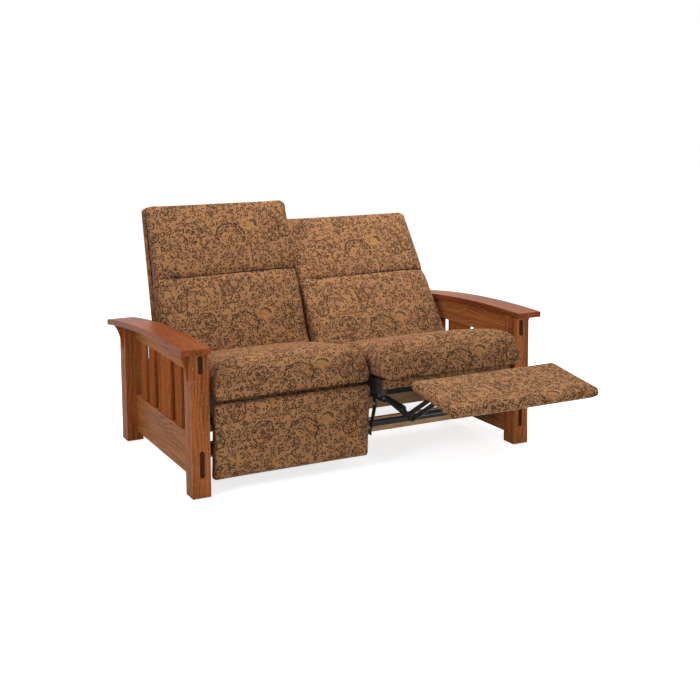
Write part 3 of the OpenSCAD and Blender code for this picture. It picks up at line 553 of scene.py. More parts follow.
# %% [markdown]
# Large motifs come once in each width of the repeat: an arch of dark dashes, a dark olive hook on a clearer gold
# patch to its right, a pair of veined leaves beyond, a rose of rings to its left, and two single leaves higher up.

# %% Pattern group: large motifs
REPEAT_U, REPEAT_V, MOTIF_U, MOTIF_V = 0.686, 0.44, -0.305, 0.369
cell = w.vec("DIVIDE", w.vec("SUBTRACT", v, (MOTIF_U, MOTIF_V, 0.0)), (REPEAT_U, REPEAT_V, 1.0))
cx, cy = w.parts(w.vec("ADD", cell, (0.5, 0.5, 0.0)))[:2]
mx = (cx.fract() - 0.5) * REPEAT_U
my = (cy.fract() - 0.5) * REPEAT_V


def ring_about(x, y, wide, tall):
    """An oval of the given half width and height about a point of the motif's frame: the level, which is 1 on the
    oval, the angle round it and the height in it."""
    dx, dy = (mx - x) / wide, (my - y) / tall
    return (dx * dx + dy * dy).root(), dy.arctan2(dx), dy


def beats(angle, count, low, high):
    """Breaks a ring into the given number of marks."""
    return (angle * float(count)).sine().step(low, high)


level, angle, height = ring_about(0.0, -0.02, 0.070, 0.058)
open_below = height.step(-0.55, -0.35)
arch = line_at(level, 1.0, 0.105) * beats(angle, 13, -1.0, -0.55) * open_below
arch = arch | line_at(level, 0.74, 0.065) * beats(angle, 19, -0.4, 0.2) * open_below
level, angle, height = ring_about(0.110, 0.022, 0.030, 0.026)
ragged = (w.noise(v, 120.0, 1.0, dims="2D") - 0.5) * 0.55
weight = angle.step(2.4, 0.7, 0.10, 0.34)
crest = abs(level - 1.0 + ragged).step(weight, weight * 0.6) * height.step(-0.35, 0.05)
bead = line_at(level, 1.9, 0.12) * beats(angle, 9, 0.1, 0.5) * height.step(0.2, -0.2)
clear = level.step(2.1, 1.2) * height.step(-1.4, -0.4)
level, angle, height = ring_about(-0.19, 0.0, 0.048, 0.048)
rose = (line_at(level, 1.0, 0.10) * beats(angle, 7, -0.8, -0.3)
        | line_at(level, 0.62, 0.10) * beats(angle, 5, -0.3, 0.3) | level.step(0.24, 0.16))
leaves = None
for x, y, bend in ((0.225, -0.03, 0.45), (0.290, -0.01, -0.45), (-0.30, 0.10, 0.3), (-0.06, 0.155, -0.4)):
    leaf = w.group(teardrop, Vector=w.join(mx - x, my - y), Size=0.034, Bend=bend)
    ribs = leaf["Along"] * 8.0 + abs(leaf["Across"]) * 8.0
    ribs = ribs.sine().step(0.55, 0.85, 0.0, 0.7) * leaf["Level"].step(0.78, 0.66)
    spine = line_at(leaf["Across"], 0.0, 0.07) * leaf["Level"].step(0.95, 0.9)
    drawn = line_at(leaf["Level"], 1.0, 0.12) | ribs | spine
    leaves = drawn if leaves is None else leaves | drawn

# %% Pattern group: ink and yarn
small = (strokes | hooks | seeds | wander) * (1.0 - clear * 0.65)
cloth = w.mix(clear * 0.6, cloth, colour(186, 132, 76))
shade = w.mix(w.noise(v, 23.0, 1.0, dims="2D").step(0.52, 0.64), INK, MAROON)
worn_ink = w.noise(v, 230.0, 1.0, dims="2D").step(0.25, 0.50, 0.65, 1.0)
cloth = w.mix((small | leaves | rose) * worn_ink, cloth, shade)
cloth = w.mix(arch * worn_ink, cloth, INK)
cloth = w.mix((crest | bead) * worn_ink, cloth, OLIVE)
ux, uy = w.parts(gi["Vector"])[:2]
yarn = w.noise(w.join(ux * 2.0, uy), 180.0, 2.0, 0.6, dims="2D")
pick = w.noise(w.join(ux, uy * 2.0), 200.0, 2.0, 0.6, dims="2D")
slub = (yarn + pick) * 0.5
pepper = w.noise(gi["Vector"], 250.0, 1.0, dims="2D").step(0.57, 0.63, 0.0, 0.55)
cloth = w.mix(pepper, cloth, colour(88, 54, 38))
cloth = w.mix(slub.step(0.50, 0.62, 0.0, 0.34), cloth, colour(206, 158, 106))
cloth = w.mix(slub.step(0.49, 0.38, 0.0, 0.42), cloth, INK)
w.fill(go, Color=cloth, Height=slub)
print("pattern group:", len(pattern.nodes), "nodes")

# %% [markdown]
# ## Weave
# Threads go over and under each other, about three in every four millimetres. Two sets of ribs at right angles,
# each on top where the other goes down, give the cloth its tooth without drawing a single thread.

# %% Weave group
weave, w, gi, go = new_group("plain_weave", {"Vector": (0.0, 0.0, 0.0), "Threads": 900.0}, {"Height": 1})
HALF_TURN = 3.1416
x, y = w.parts(w.vec("SCALE", gi["Vector"], scale=gi["Threads"] * HALF_TURN))[:2]
warp, weft = x.sine(), y.sine()
over = warp * weft
w.fill(go, Height=abs(warp) * (over | 0.0) + abs(weft) * (over * -1.0 | 0.0))

# %% Upholstery finish
SEAM_ZERO = 0.1


def upholstery(name):
    """The patterned cloth, on the piece's own map in metres. The attribute of painted shade darkens it where a crease,
    the seam's pinch or a cushion's lower edge would lie in shade, and
    'seam' holds each point's height over a sewn seam, plus SEAM_ZERO, so that the line stays thin on any mesh."""
    made, w, skin = new_material(name)
    place = w.add("ShaderNodeUVMap", uv_map="cloth").outputs[0]
    printed = w.group(pattern, Vector=place)
    threads = w.group(weave, Vector=place, Threads=760.0)["Height"]
    seam = abs(w.attribute("seam") - SEAM_ZERO).step(0.0034, 0.0014)
    # The seam's thin line and the painted shade of creases, the pinch and lower edges both darken the cloth here.
    shadow = seam * 0.85 | w.attribute("tuck") * 0.9
    relief = threads + printed["Height"] * 1.4 - seam * 2.5
    w.fill(skin, Base_Color=w.mix(shadow, printed["Color"], colour(34, 22, 16)), Roughness=0.98 - threads * 0.12,
           Normal=w.bump(relief, 0.0008, 0.7), Sheen_Weight=0.02, Sheen_Roughness=0.6, Specular_IOR_Level=0.04)
    return made


cloth_finish = upholstery("paisley_upholstery")
thread_finish = metal("sewing_thread", colour(84, 56, 38), 0.0, 0.6)

# %% [markdown]
# ## Eased edges
# A joiner breaks every sharp edge with a plane, and that thin rounded line is what catches the light. The CAD
# boards have sharp edges, so each gets a copy whose triangles are joined back into flat faces and whose edges
# are bevelled. Weighted normals keep the flats flat.

# %% Copy a board with eased edges


def placed(name, data):
    """A new object in the scene."""
    made = bpy.data.objects.new(name, data)
    bpy.context.scene.collection.objects.link(made)
    return made


def plain_mesh(piece):
    """Turns the piece and its modifiers into a plain mesh."""
    bpy.context.view_layer.update()
    made = bpy.data.meshes.new_from_object(piece.evaluated_get(bpy.context.evaluated_depsgraph_get()))
    piece.modifiers.clear()
    piece.data = made


def mesh_from(form, name):
    """The bmesh as a mesh. The bmesh is freed."""
    mesh = bpy.data.meshes.new(name)
    form.to_mesh(mesh)
    form.free()
    return mesh


def wear(piece, finish):
    piece.data.materials.clear()
    piece.data.materials.append(finish)


def settle(piece, body, slot, stands_for=()):
    """Gives the piece its body, its slot and the CAD nodes that it takes the place of."""
    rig.ride(piece, body)
    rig.slot(piece, slot)
    if stands_for:
        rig.replaces(piece, *stands_for)
    return piece


def eased_copy(node, ease, finish):
    source = nodes[node]
    form = bmesh.new()
    form.from_mesh(source.data)
    bmesh.ops.remove_doubles(form, verts=form.verts, dist=1e-5)
    bmesh.ops.dissolve_limit(form, angle_limit=math.radians(0.2), verts=form.verts, edges=form.edges)
    piece = placed(node + "_eased", mesh_from(form, node + "_eased"))
    bevel = piece.modifiers.new("ease", "BEVEL")
    bevel.width, bevel.segments, bevel.limit_method, bevel.angle_limit = ease, 2, "ANGLE", math.radians(40)
    plain_mesh(piece)
    piece.data.shade_smooth()
    piece.modifiers.new("flats", "WEIGHTED_NORMAL").keep_sharp = False
    plain_mesh(piece)
    wear(piece, finish)
    return settle(piece, source["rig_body"], SLOT_OF[node], (node,))


SLOT_OF = {row["node"]: row["material_slot"] for row in frame["record"]["subparts"]}
boards = {}
for ease, finish, names in (
        (0.0028, oak_up, "left_front_leg left_rear_leg right_front_leg right_rear_leg"),
        (0.0026, oak_fore, "left_arm right_arm"),
        (0.002, oak_rail, "left_top_rail right_top_rail left_low_rail right_low_rail"),
        (0.0015, oak_slat, "left_slats right_slats corbels"), (0.001, oak_dark, "tenons"),
        (0.002, oak_cross, "rear_rail"), (0.002, raw_cross, "cross_rails"),
        (0.0015, shade_painted_frame_wood, "left_seat_frame left_back_frame right_seat_frame right_back_frame")):
    for node in names.split():
        boards[node] = eased_copy(node, ease, finish)
print("eased", len(boards), "wooden pieces")

# %% [markdown]
# The steel parts have the right shape already, so they stay as they are and only get their finish.

# %% Finishes for the steel and plastic parts
finish_of = {"black_steel": enamel, "rivet_steel": zinc, "spring_steel": wire, "glide": plastic}
for name, piece in nodes.items():
    if SLOT_OF[name] in finish_of:
        wear(piece, finish_of[SLOT_OF[name]])

# %% [markdown]
# ## Rounded blocks
# Every stuffed piece starts as a block with rounded edges. Each point of a gridded box is drawn to the inner
# box and pushed out again by the radius, so flats stay flat and edges come out round.

# %% Rounded block mesh
TINY = 1e-9


def rounded_block(low, high, radius, cell, open_sides=(), top_radius=None):
    """A gridded box from low to high. open_sides names faces that are left out, such as '-y'."""
    low, high = Vector(low), Vector(high)
    middle, top_radius = (low.z + high.z) / 2, top_radius or radius
    form = bmesh.new()
    for axis in range(3):
        a, b = [k for k in range(3) if k != axis]
        counts = [max(2, round((high[k] - low[k]) / cell)) for k in (a, b)]
        for sign in "-+":
            if sign + "xyz"[axis] in open_sides:
                continue
            rows = []
            for i in range(counts[0] + 1):
                rows.append([])
                for j in range(counts[1] + 1):
                    p = Vector((0, 0, 0))
                    p[axis] = (low if sign == "-" else high)[axis]
                    p[a] = low[a] + (high[a] - low[a]) * i / counts[0]
                    p[b] = low[b] + (high[b] - low[b]) * j / counts[1]
                    rows[i].append(form.verts.new(p))
            for i in range(counts[0]):
                for j in range(counts[1]):
                    form.faces.new((rows[i][j], rows[i + 1][j], rows[i + 1][j + 1], rows[i][j + 1]))
    bmesh.ops.remove_doubles(form, verts=form.verts, dist=1e-5)
    for v in form.verts:
        r = top_radius if v.co.z > middle else radius
        inner = Vector([min(max(v.co[k], low[k] + r), high[k] - r) for k in range(3)])
        away = v.co - inner
        if away.length > TINY:
            v.co = inner + away.normalized() * r
    bmesh.ops.recalc_face_normals(form, faces=form.faces)
    return mesh_from(form, "block")


def unit(x):
    """x kept from 0 to 1."""
    return np.clip(x, 0, 1)


def read(rows, name, width=1, kind=float):
    """The named value of each row as an array."""
    got = np.empty(len(rows) * width, kind)
    rows.foreach_get(name, got)
    return got.reshape(-1, width) if width > 1 else got


def points_of(mesh):
    return read(mesh.vertices, "co", 3)


def move_points(mesh, co):
    mesh.vertices.foreach_set("co", np.asarray(co, float).ravel())
    mesh.update()


def set_values(mesh, name, values):
    """Writes one number on each point under the name."""
    layer = mesh.attributes.new(name, "FLOAT", "POINT")
    layer.data.foreach_set("value", np.asarray(values, np.float32))


def surface_of(mesh, move=Matrix()):
    """The mesh as a surface to drop points on."""
    return BVHTree.FromPolygons([move @ v.co for v in mesh.vertices], [f.vertices[:] for f in mesh.polygons])


def dropped_on(surface, points, direction):
    """Each point moved along the direction until it meets the surface, and left out where it doesn't."""
    hits = (surface.ray_cast(Vector(p), Vector(direction))[0] for p in points)
    return [hit for hit in hits if hit is not None]


def onto_round(dx, dz, radius):
    """Draws points onto a round corner. dx and dz are how far they lie from the round's centre, to the corner.
    Gives which points move, and their new dx and dz."""
    far = np.hypot(dx, dz)
    out = (dx > 0) & (dz > 0) & (far > radius)
    pull = np.where(out, radius / np.maximum(far, TINY), 1.0)
    return out, dx * pull, dz * pull


def peak_by_band(place, values, bands, empty, spread=1):
    """The highest value near each point's place, which goes from 0 to 1 and is cut into bands. The peaks are
    averaged over as many bands as spread says, and a band without points counts as empty."""
    band = np.clip(place * bands, 0, bands - 1).astype(int)
    peaks = np.array([values[band == k].max() if (band == k).any() else empty for k in range(bands)])
    peaks = np.convolve(np.pad(peaks, spread // 2, mode="edge"), np.ones(spread) / spread, "valid")
    return np.interp(place * bands - 0.5, np.arange(bands), peaks)


# %% [markdown]
# ## Stuffing
# Foam in a sewn cover bulges between its seams. Blender's cloth does that with pressure: the block is remeshed
# evenly, blown up for twenty frames without gravity, and kept from moving further than real foam would push.
# The result is then subdivided once and drawn back to the size of the CAD cushion.

# %% Blow up a cushion
FRAMES, FADE = 20, 0.02


def stuff(mesh, low, high, rests_on, cap=0.014, cell=0.009):
    """mesh blown up by cloth pressure and fitted from low to high. Runs in a plain upright frame. rests_on is the
    axis and the sign of the side that lies on something and stays flat."""
    piece = placed("stuffing", mesh)
    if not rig.quick():
        even = piece.modifiers.new("even", "REMESH")
        even.mode, even.voxel_size = "VOXEL", cell
        plain_mesh(piece)
        start = points_of(piece.data)
        cloth = piece.modifiers.new("pressure", "CLOTH")
        for name, value in (("quality", 4), ("tension_stiffness", 18), ("compression_stiffness", 18),
                            ("shear_stiffness", 8), ("bending_stiffness", 2.0), ("use_pressure", True),
                            ("uniform_pressure_force", 4.0)):
            setattr(cloth.settings, name, value)
        cloth.settings.effector_weights.gravity = 0.0
        cloth.point_cache.frame_start, cloth.point_cache.frame_end = 1, FRAMES
        for k in range(1, FRAMES + 1):
            bpy.context.scene.frame_set(k)
        plain_mesh(piece)
        bpy.context.scene.frame_set(1)
        moved = points_of(piece.data) - start
        far = np.linalg.norm(moved, axis=1, keepdims=True)
        moved *= np.where(far > TINY, cap * np.tanh(far / cap) / np.maximum(far, TINY), 0.0)
        axis, sign = rests_on
        moved[:, axis] *= unit(np.abs(start[:, axis] - sign * (sign * start[:, axis]).max()) / FADE)
        move_points(piece.data, start + moved)
    finer = piece.modifiers.new("finer", "SUBSURF")
    finer.levels = finer.render_levels = 1
    plain_mesh(piece)
    co = points_of(piece.data)
    a, b = co.min(0), co.max(0)
    co = np.array(low) + (co - a) * (np.array(high) - np.array(low)) / (b - a)
    move_points(piece.data, co)
    made = piece.data
    bpy.data.objects.remove(piece)
    return made


# %% [markdown]
# ## Mapping the cloth
# The cover is cut so that the pattern runs unbroken from the top of the seat over its front, and its sides are
# separate panels. So the map runs across for one direction and for the other along the path over the cushion,
# and changes to a side panel's own map where the surface faces sideways. It is in metres, so the pattern has
# one scale on every piece.

# %% Cloth map


def map_cloth(mesh, over, shift):
    """Writes the map 'cloth'. over(points) gives the distance along the panel."""
    co = points_of(mesh)
    corner = read(mesh.loops, "vertex_index", kind=int)
    facing = read(mesh.polygons, "normal", 3)
    sideways = np.repeat(np.abs(facing[:, 0]) > 0.72, read(mesh.polygons, "loop_total", kind=int))
    u = np.where(sideways, co[corner, 1] + 0.31, co[corner, 0])
    v = np.where(sideways, co[corner, 2], over(co)[corner])
    layer = mesh.uv_layers.new(name="cloth")
    layer.data.foreach_set("uv", np.stack([u + shift[0], v + shift[1]], 1).ravel())


def set_tuck(mesh, values):
    """How much painted shade each point takes, from 0 to 1: deep in a crease, at the seam's pinch or along a cushion's
    lower edge.
    """
    set_values(mesh, "tuck", unit(values))


def dent(t, width):
    return np.exp(-(t / width) ** 2)


# %% [markdown]
# ## Seat cushion
# The seat is a deep block of foam, thick at its front and falling towards the back, whose top rolls over the
# front without a seam. It is stuffed as a level block and then sloped by the same rule as the CAD cushion. The
# cloth gathers in folds at the front corners, and the corners where the two seats meet are rounder.

# %% Make the seat cushion
SEAT_FALL = 0.32
low, high = (np.array(c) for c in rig.box("left_seat_cushion"))
mid, half = (low + high) / 2, (high - low) / 2
level_h = 0.154
seat_mesh = rounded_block(low + 0.012, [high[0] - 0.012, high[1] - 0.012, low[2] + level_h - 0.030], 0.022, 0.018,
                          top_radius=0.058)
co = points_of(seat_mesh)
rx, ry = (co[:, 0] - mid[0]) / half[0], (co[:, 1] - mid[1]) / half[1]
lifted = unit((co[:, 2] - low[2] - 0.05) / 0.06)
co[:, 2] += 0.026 * lifted * (1 - np.abs(rx) ** 2.4) * (1 - np.abs(ry) ** 2.6)
move_points(seat_mesh, co)
seat_mesh = stuff(seat_mesh, low, [high[0], high[1], low[2] + level_h], (2, -1))
co = points_of(seat_mesh)
rx, ry = (co[:, 0] - mid[0]) / half[0], (co[:, 1] - mid[1]) / half[1]
top = unit((co[:, 2] - low[2] - 0.095) / 0.03)
co[:, 2] -= 0.005 * top * dent(np.hypot(rx / 0.62, (ry - 0.25) / 0.7), 1.0)
# Folds that run from the front corners into the top, and how much painted shade each puts on the cloth
painted_fold_shade = np.zeros(len(co))
for sx in (-1, 1):
    run = (co[:, 0] - (mid[0] + sx * half[0])) * -sx
    fore = co[:, 1] - low[1] + 0.5 * (low[2] + level_h - co[:, 2])
    for at, slant, width, length, depth in ((0.030, 0.16, 0.013, 0.15, 0.013), (0.066, 0.30, 0.012, 0.11, 0.007),
                                            (0.105, 0.22, 0.014, 0.09, 0.004)):
        crease = dent(fore - at - slant * run, width) * unit(1 - run / length) * unit(top + 0.3)
        co[:, 2] -= depth * crease
        painted_fold_shade = np.maximum(painted_fold_shade, crease * depth / 0.013)
co[:, 2] = low[2] + (co[:, 2] - low[2]) * (1 - SEAT_FALL * (co[:, 1] - mid[1]) / half[1])
co[:, 2] = low[2] + (co[:, 2] - low[2]) * (high[2] - low[2]) / (co[:, 2].max() - low[2])
move_points(seat_mesh, co)
# Painted shade darkens the corner folds and the lowest centimetre of the seat cushion, where it sits on the frame.
set_tuck(seat_mesh, np.maximum(unit((low[2] + 0.010 - co[:, 2]) / 0.010) * 0.8, painted_fold_shade * 0.75))
print("seat cushion:", len(seat_mesh.vertices), "points, front edge up to", round(float(co[:, 2].max()), 3))


def round_inner_corner(mesh, sign, radius=0.05):
    """Draws the lower corner that faces the other seat onto a larger round. sign says which end that is."""
    co = points_of(mesh)
    end = mid[0] + sign * half[0]
    out, dx, dz = onto_round(radius - (end - co[:, 0]) * sign, radius - (co[:, 2] - low[2]), radius)
    co[:, 0] = np.where(out, end - sign * (radius - dx), co[:, 0])
    co[:, 2] = np.where(out, low[2] + radius - dz, co[:, 2])
    move_points(mesh, co)


right_seat_mesh = seat_mesh.copy()
for mesh, sign in ((seat_mesh, 1), (right_seat_mesh, -1)):
    round_inner_corner(mesh, sign)
    map_cloth(mesh, lambda p: p[:, 1] + p[:, 2] + 0.07, (0.045, 0.0))

# %% [markdown]
# ## Back cushion
# The back is two pads in one cover, joined by a cross seam about halfway up. Stuffing makes each bulge.
# The seam is pulled in after the stuffing, hardest near its ends, where the photograph shows a dark pinch. The
# work is done in the back's own upright frame and then leaned with it.

# %% Make the back cushion
BACK_LEAN = math.radians(13.4)
back_foot = Vector((-0.37, 0.581, 0.330))
lean = Matrix.Translation(back_foot) @ Matrix.Rotation(-BACK_LEAN, 4, "X")
SEAM_Z, LOW_Z, TOP_Z, TURN_Z, BACK_HALF = 0.461, 0.076, 0.812, 0.79, 0.364
CORE, DEEP_LOW, DEEP_TOP = 0.048, 0.199, 0.082
REAR_Y = -CORE - 0.0005


def back_front(z):
    """How far in front of the rear face the cushion reaches at height z along the lean."""
    return DEEP_LOW + (DEEP_TOP - DEEP_LOW) * (z - LOW_Z) / (TOP_Z - LOW_Z)


def seam_at(across):
    """The height of the cross seam at a place across the back, from -1 to 1. It isn't quite straight."""
    return SEAM_Z + 0.004 * np.sin(across * 2.3)


def round_top_corners(mesh, radius):
    """Draws the back's two top corners onto a round, and narrows it slightly towards the top."""
    co = points_of(mesh)
    co[:, 0] *= 1 - 0.003 * unit((co[:, 2] - LOW_Z) / (TOP_Z - LOW_Z))
    end = np.abs(co[:, 0]).max()
    out, dx, dz = onto_round(np.abs(co[:, 0]) - end + radius, co[:, 2] - TOP_Z + radius, radius)
    co[:, 0] = np.where(out, np.sign(co[:, 0]) * (end - radius + dx), co[:, 0])
    co[:, 2] = np.where(out, TOP_Z - radius + dz, co[:, 2])
    move_points(mesh, co)


back_mesh = rounded_block((-BACK_HALF + 0.008, -DEEP_LOW, LOW_Z + 0.006), (BACK_HALF - 0.008, REAR_Y, TOP_Z - 0.008),
                          0.024, 0.02, top_radius=0.034)
co = points_of(back_mesh)
deep = (REAR_Y - co[:, 1]) / (DEEP_LOW - CORE)
co[:, 1] = REAR_Y - deep * (back_front(co[:, 2]) - CORE - 0.008)
groove = dent(co[:, 2] - SEAM_Z, 0.030) * unit(deep * 1.4 - 0.4)
co[:, 1] += 0.006 * groove
move_points(back_mesh, co)
back_mesh = stuff(back_mesh, (-BACK_HALF, -0.211, LOW_Z), (BACK_HALF, -CORE, TOP_Z), (1, 1), cap=0.009)
# The rear edge is drawn out square, where the outside back is sewn on
co = points_of(back_mesh)
behind = unit((-CORE - co[:, 1]) / (back_front(co[:, 2]) - CORE))
DRAWN_IN = 0.0015
for axis, centre, edge in ((0, 0.0, BACK_HALF - DRAWN_IN), (2, (LOW_Z + TOP_Z) / 2, TOP_Z - DRAWN_IN)):
    off, room = co[:, axis] - centre, edge - centre
    grow = room / peak_by_band(behind, np.abs(off), 12, 1.0)
    share = unit((0.5 - behind) / 0.2) * unit((np.abs(off) / room - 0.6) / 0.3)
    co[:, axis] = centre + off * (1 + share * (grow - 1))
# The pressure swells the thin upper part too much, so each level is drawn back to the taper
reached = peak_by_band((co[:, 2] - LOW_Z) / (TOP_Z - LOW_Z), -co[:, 1], 60, 0.1, 5)
section = np.where(co[:, 2] > SEAM_Z, (co[:, 2] - SEAM_Z) / (TOP_Z - SEAM_Z), (co[:, 2] - LOW_Z) / (SEAM_Z - LOW_Z))
full = unit(4 * section * (1 - section)) ** 0.4
wanted = back_front(co[:, 2]) - 0.003 + 0.012 * full
rim = unit(np.minimum(co[:, 2] - LOW_Z, TOP_Z - co[:, 2]) / 0.03)
share = 1 + rim * ((wanted - CORE) / np.maximum(reached - CORE, 0.01) - 1)
co[:, 1] = -CORE + (co[:, 1] + CORE) * share
rx = co[:, 0] / BACK_HALF
front = unit((-co[:, 1] - CORE) / np.maximum(wanted - CORE, 0.01) * 1.6 - 0.5)
pinch = 0.25 + 0.75 * unit(dent(rx + 0.71, 0.10) + 0.7 * dent(rx - 0.9, 0.10))
above = co[:, 2] - seam_at(rx)
co[:, 1] += front * (0.010 * dent(above, 0.0075) * pinch + 0.002 * dent(above, 0.026))
# Short pulls that fan out from the seam
for k, at in enumerate((-0.71, -0.55, -0.3, 0.08, 0.42, 0.7, 0.88)):
    for way in (-1, 1):
        reach = (co[:, 2] - SEAM_Z) * way
        slant = 0.10 * math.sin(3.1 * k + way)
        pull = dent(rx - at - slant * reach / 0.1, 0.022) * unit(1 - reach / 0.075) * (reach > 0)
        co[:, 1] += front * pull * (0.0050 if abs(at) > 0.705 else 0.0022)
move_points(back_mesh, co)
# Painted shade darkens the seam's pinch near the back's left end.
set_tuck(back_mesh, front * 0.9 * dent(above, 0.009) * dent(rx + 0.71, 0.055))
over_seam = np.clip(above, -0.05, 0.05) + 0.012 * np.clip((-0.72 - rx) / 0.03, 0, 3)
set_values(back_mesh, "seam", SEAM_ZERO + np.where(front > 0.3, over_seam, 0.09 * np.sign(over_seam)))
map_cloth(back_mesh, lambda p: p[:, 2] + (p[:, 1] + back_front(p[:, 2])) * (p[:, 2] > TURN_Z), (-0.342, 0.14))
round_top_corners(back_mesh, 0.030)
STITCH_UP = 0.0085
seam_path = dropped_on(surface_of(back_mesh), [
    (BACK_HALF * at, -0.4, seam_at(at) + STITCH_UP) for at in np.linspace(-0.95, 0.95, 61)], (0, 1, 0))
back_mesh.transform(lean)
print("back cushion:", len(back_mesh.vertices), "points")

# %% [markdown]
# ## Footrest pad
# Under the seat is a thin pad on its board. It shows as a flat front panel when shut and as a tray when open,
# so its face is only slightly full and its corners are small. The cloth is drawn round the board's edge and
# stapled below, where its hem thins towards the rim.

# %% Make the footrest pad
PAD_LEAN, PAD_LEN, PAD_HALF, PAD_T = math.radians(4.5), 0.328, 0.366, 0.040
pad_edge = Vector((-0.37, -0.502 + 0.301989, 0.381))
# In the pad's own frame x runs across, y down the pad and z into its depth
on_pad = Matrix.Translation(pad_edge) @ Matrix.Rotation(PAD_LEAN - math.pi / 2, 4, "X")
BOARD_T, HEM, RIM_T, FACE_T = 0.012, 0.034, 0.034, 0.018
WRAP_UNDER, UNDER_BARE = PAD_T + BOARD_T + 0.0012, PAD_T + 0.004
pad_mesh = rounded_block((-PAD_HALF + 0.005, 0.005, 0.003), (PAD_HALF - 0.005, PAD_LEN - 0.005, WRAP_UNDER - 0.001),
                         0.0135, 0.012)
pad_mesh = stuff(pad_mesh, (-PAD_HALF, 0.0, -0.006), (PAD_HALF, PAD_LEN, WRAP_UNDER), (2, 1), 0.0045, 0.0065)
co = points_of(pad_mesh)
# The rim is thinner than the middle, and the hem turned under it leaves the middle of the board bare
from_edge = np.minimum(PAD_HALF - np.abs(co[:, 0]), np.minimum(co[:, 1], PAD_LEN - co[:, 1]))
rim_under = RIM_T + (WRAP_UNDER - RIM_T) * unit(from_edge / HEM)
share = (rim_under - FACE_T) / (WRAP_UNDER - FACE_T)
co[:, 2] = np.where(co[:, 2] > FACE_T, FACE_T + (co[:, 2] - FACE_T) * share, co[:, 2])
co[:, 2] = np.where((co[:, 2] > UNDER_BARE) & (from_edge > HEM + 0.003), UNDER_BARE, co[:, 2])
move_points(pad_mesh, co)


def over_pad(p):
    """Down the pad's face, and on over its two long edges."""
    past = np.abs(p[:, 1] - PAD_LEN / 2) > PAD_LEN / 2 - 0.012
    return 0.5 - p[:, 1] + p[:, 2] * np.where(p[:, 1] > PAD_LEN / 2, -1, 1) * past


map_cloth(pad_mesh, over_pad, (-0.342, 0.009))
pad_mesh.transform(on_pad)
print("footrest pad:", len(pad_mesh.vertices), "points")

# %% [markdown]
# ## Outside back and front rail
# The rear of each back is covered by a thin padded shell in the same cloth, open at the front and below, where
# the frame and the cushion go in. The seat's front rail is wrapped too.

# %% Make the outside back and the front rail
shell = rounded_block((-BACK_HALF, -0.0477, 0.070), (BACK_HALF, 0.0, TOP_Z), 0.011, 0.011, ("-y", "-z"))
co = points_of(shell)
# In front of SIDE_Y the sides are stretched, so that they lap over the cushion
SIDE_Y, SIDE = -0.012, 0.0357
lap = 0.10 * (back_front(co[:, 2]) - CORE) + 0.002
co[:, 1] = np.where(co[:, 1] < SIDE_Y, SIDE_Y + (co[:, 1] - SIDE_Y) * (SIDE + lap) / SIDE, co[:, 1])
rear = (co[:, 1] > -0.002) * (1 - np.abs(co[:, 0] / BACK_HALF) ** 6) * unit((TOP_Z - co[:, 2]) / 0.05)
co[:, 1] += rear * (0.003 + 0.0012 * np.sin(co[:, 0] * 19) * np.sin(co[:, 2] * 13 + 1))
move_points(shell, co)
round_top_corners(shell, 0.027)
cover = placed("cover", shell)
wall = cover.modifiers.new("wall", "SOLIDIFY")
wall.thickness, wall.offset = 0.006, -1
plain_mesh(cover)
cover_mesh = cover.data
bpy.data.objects.remove(cover)
map_cloth(cover_mesh, lambda p: p[:, 2] + p[:, 1] * (p[:, 2] > TURN_Z), (0.5, 0.2))
cover_mesh.transform(lean)
rail_mesh = rounded_block(*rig.box("left_seat_front_rail"), 0.005, 0.009)
map_cloth(rail_mesh, lambda p: p[:, 2] + p[:, 1], (0.6, 0.3))

# %% [markdown]
# ## Set the stuffed pieces on both seats
# The same meshes are used again on the right seat, moved by the joint swaps. The cloth was cut from a different
# place on the bolt, so the right pieces shift the map.

# %% Left and right pieces


def on_both_seats(stem, mesh, body, node, swap, shift, fill, right_mesh=None):
    """Sets the mesh on the left seat in place of the CAD's node, and on the right one, moved by the swap and with
    its map shifted. fill says how firmly the piece is padded."""
    for side in ("left_", "right_"):
        form = mesh
        if side == "right_":
            form = right_mesh or mesh.copy()
            form.transform(swap)
            layer = form.uv_layers["cloth"]
            layer.data.foreach_set("uv", (read(layer.data, "uv", 2) + shift).ravel())
        form.shade_smooth()
        piece = placed(side + stem, form)
        wear(piece, cloth_finish)
        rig.padded(settle(piece, side + body, "fabric", (side + node,)), fill)


on_both_seats("seat_cushion_stuffed", seat_mesh, "seat", "seat_cushion", seat_swap, (0.0, 0.03), 0.75, right_seat_mesh)
on_both_seats("back_cushion_stuffed", back_mesh, "back", "back_cushion", back_swap, (0.03, 0.05), 0.7)
on_both_seats("footrest_pad_stuffed", pad_mesh, "footrest", "footrest_pad", footrest_swap, (0.02, 0.2), 0.6)
on_both_seats("outside_back", cover_mesh, "back", "back_cover", back_swap, (0.33, 0.0), 0.2)
on_both_seats("front_rail_covered", rail_mesh, "seat", "seat_front_rail", seat_swap, (0.1, 0.1), 0.1)

# %% [markdown]
# ## Footrest board
# The board is bare inside the hem. Its rim lies in the cloth, so the visible board is drawn in to the hem, and its
# points carry how deep they lie in the wood for the plies.

# %% Board with plies
for side, move in (("left_", on_pad), ("right_", footrest_swap @ on_pad)):
    piece = eased_copy(side + "footrest_board", 0.001, plywood)
    flat = np.array([(move.inverted() @ v.co)[:] for v in piece.data.vertices])
    for axis, centre, room in ((0, 0.0, PAD_HALF), (1, PAD_LEN / 2, PAD_LEN / 2)):
        off = flat[:, axis] - centre
        flat[:, axis] = centre + off * (room - HEM + 0.004) / np.abs(off).max()
    move_points(piece.data, [(move @ Vector(c))[:] for c in flat])
    set_values(piece.data, "board_depth", flat[:, 2] - PAD_T)

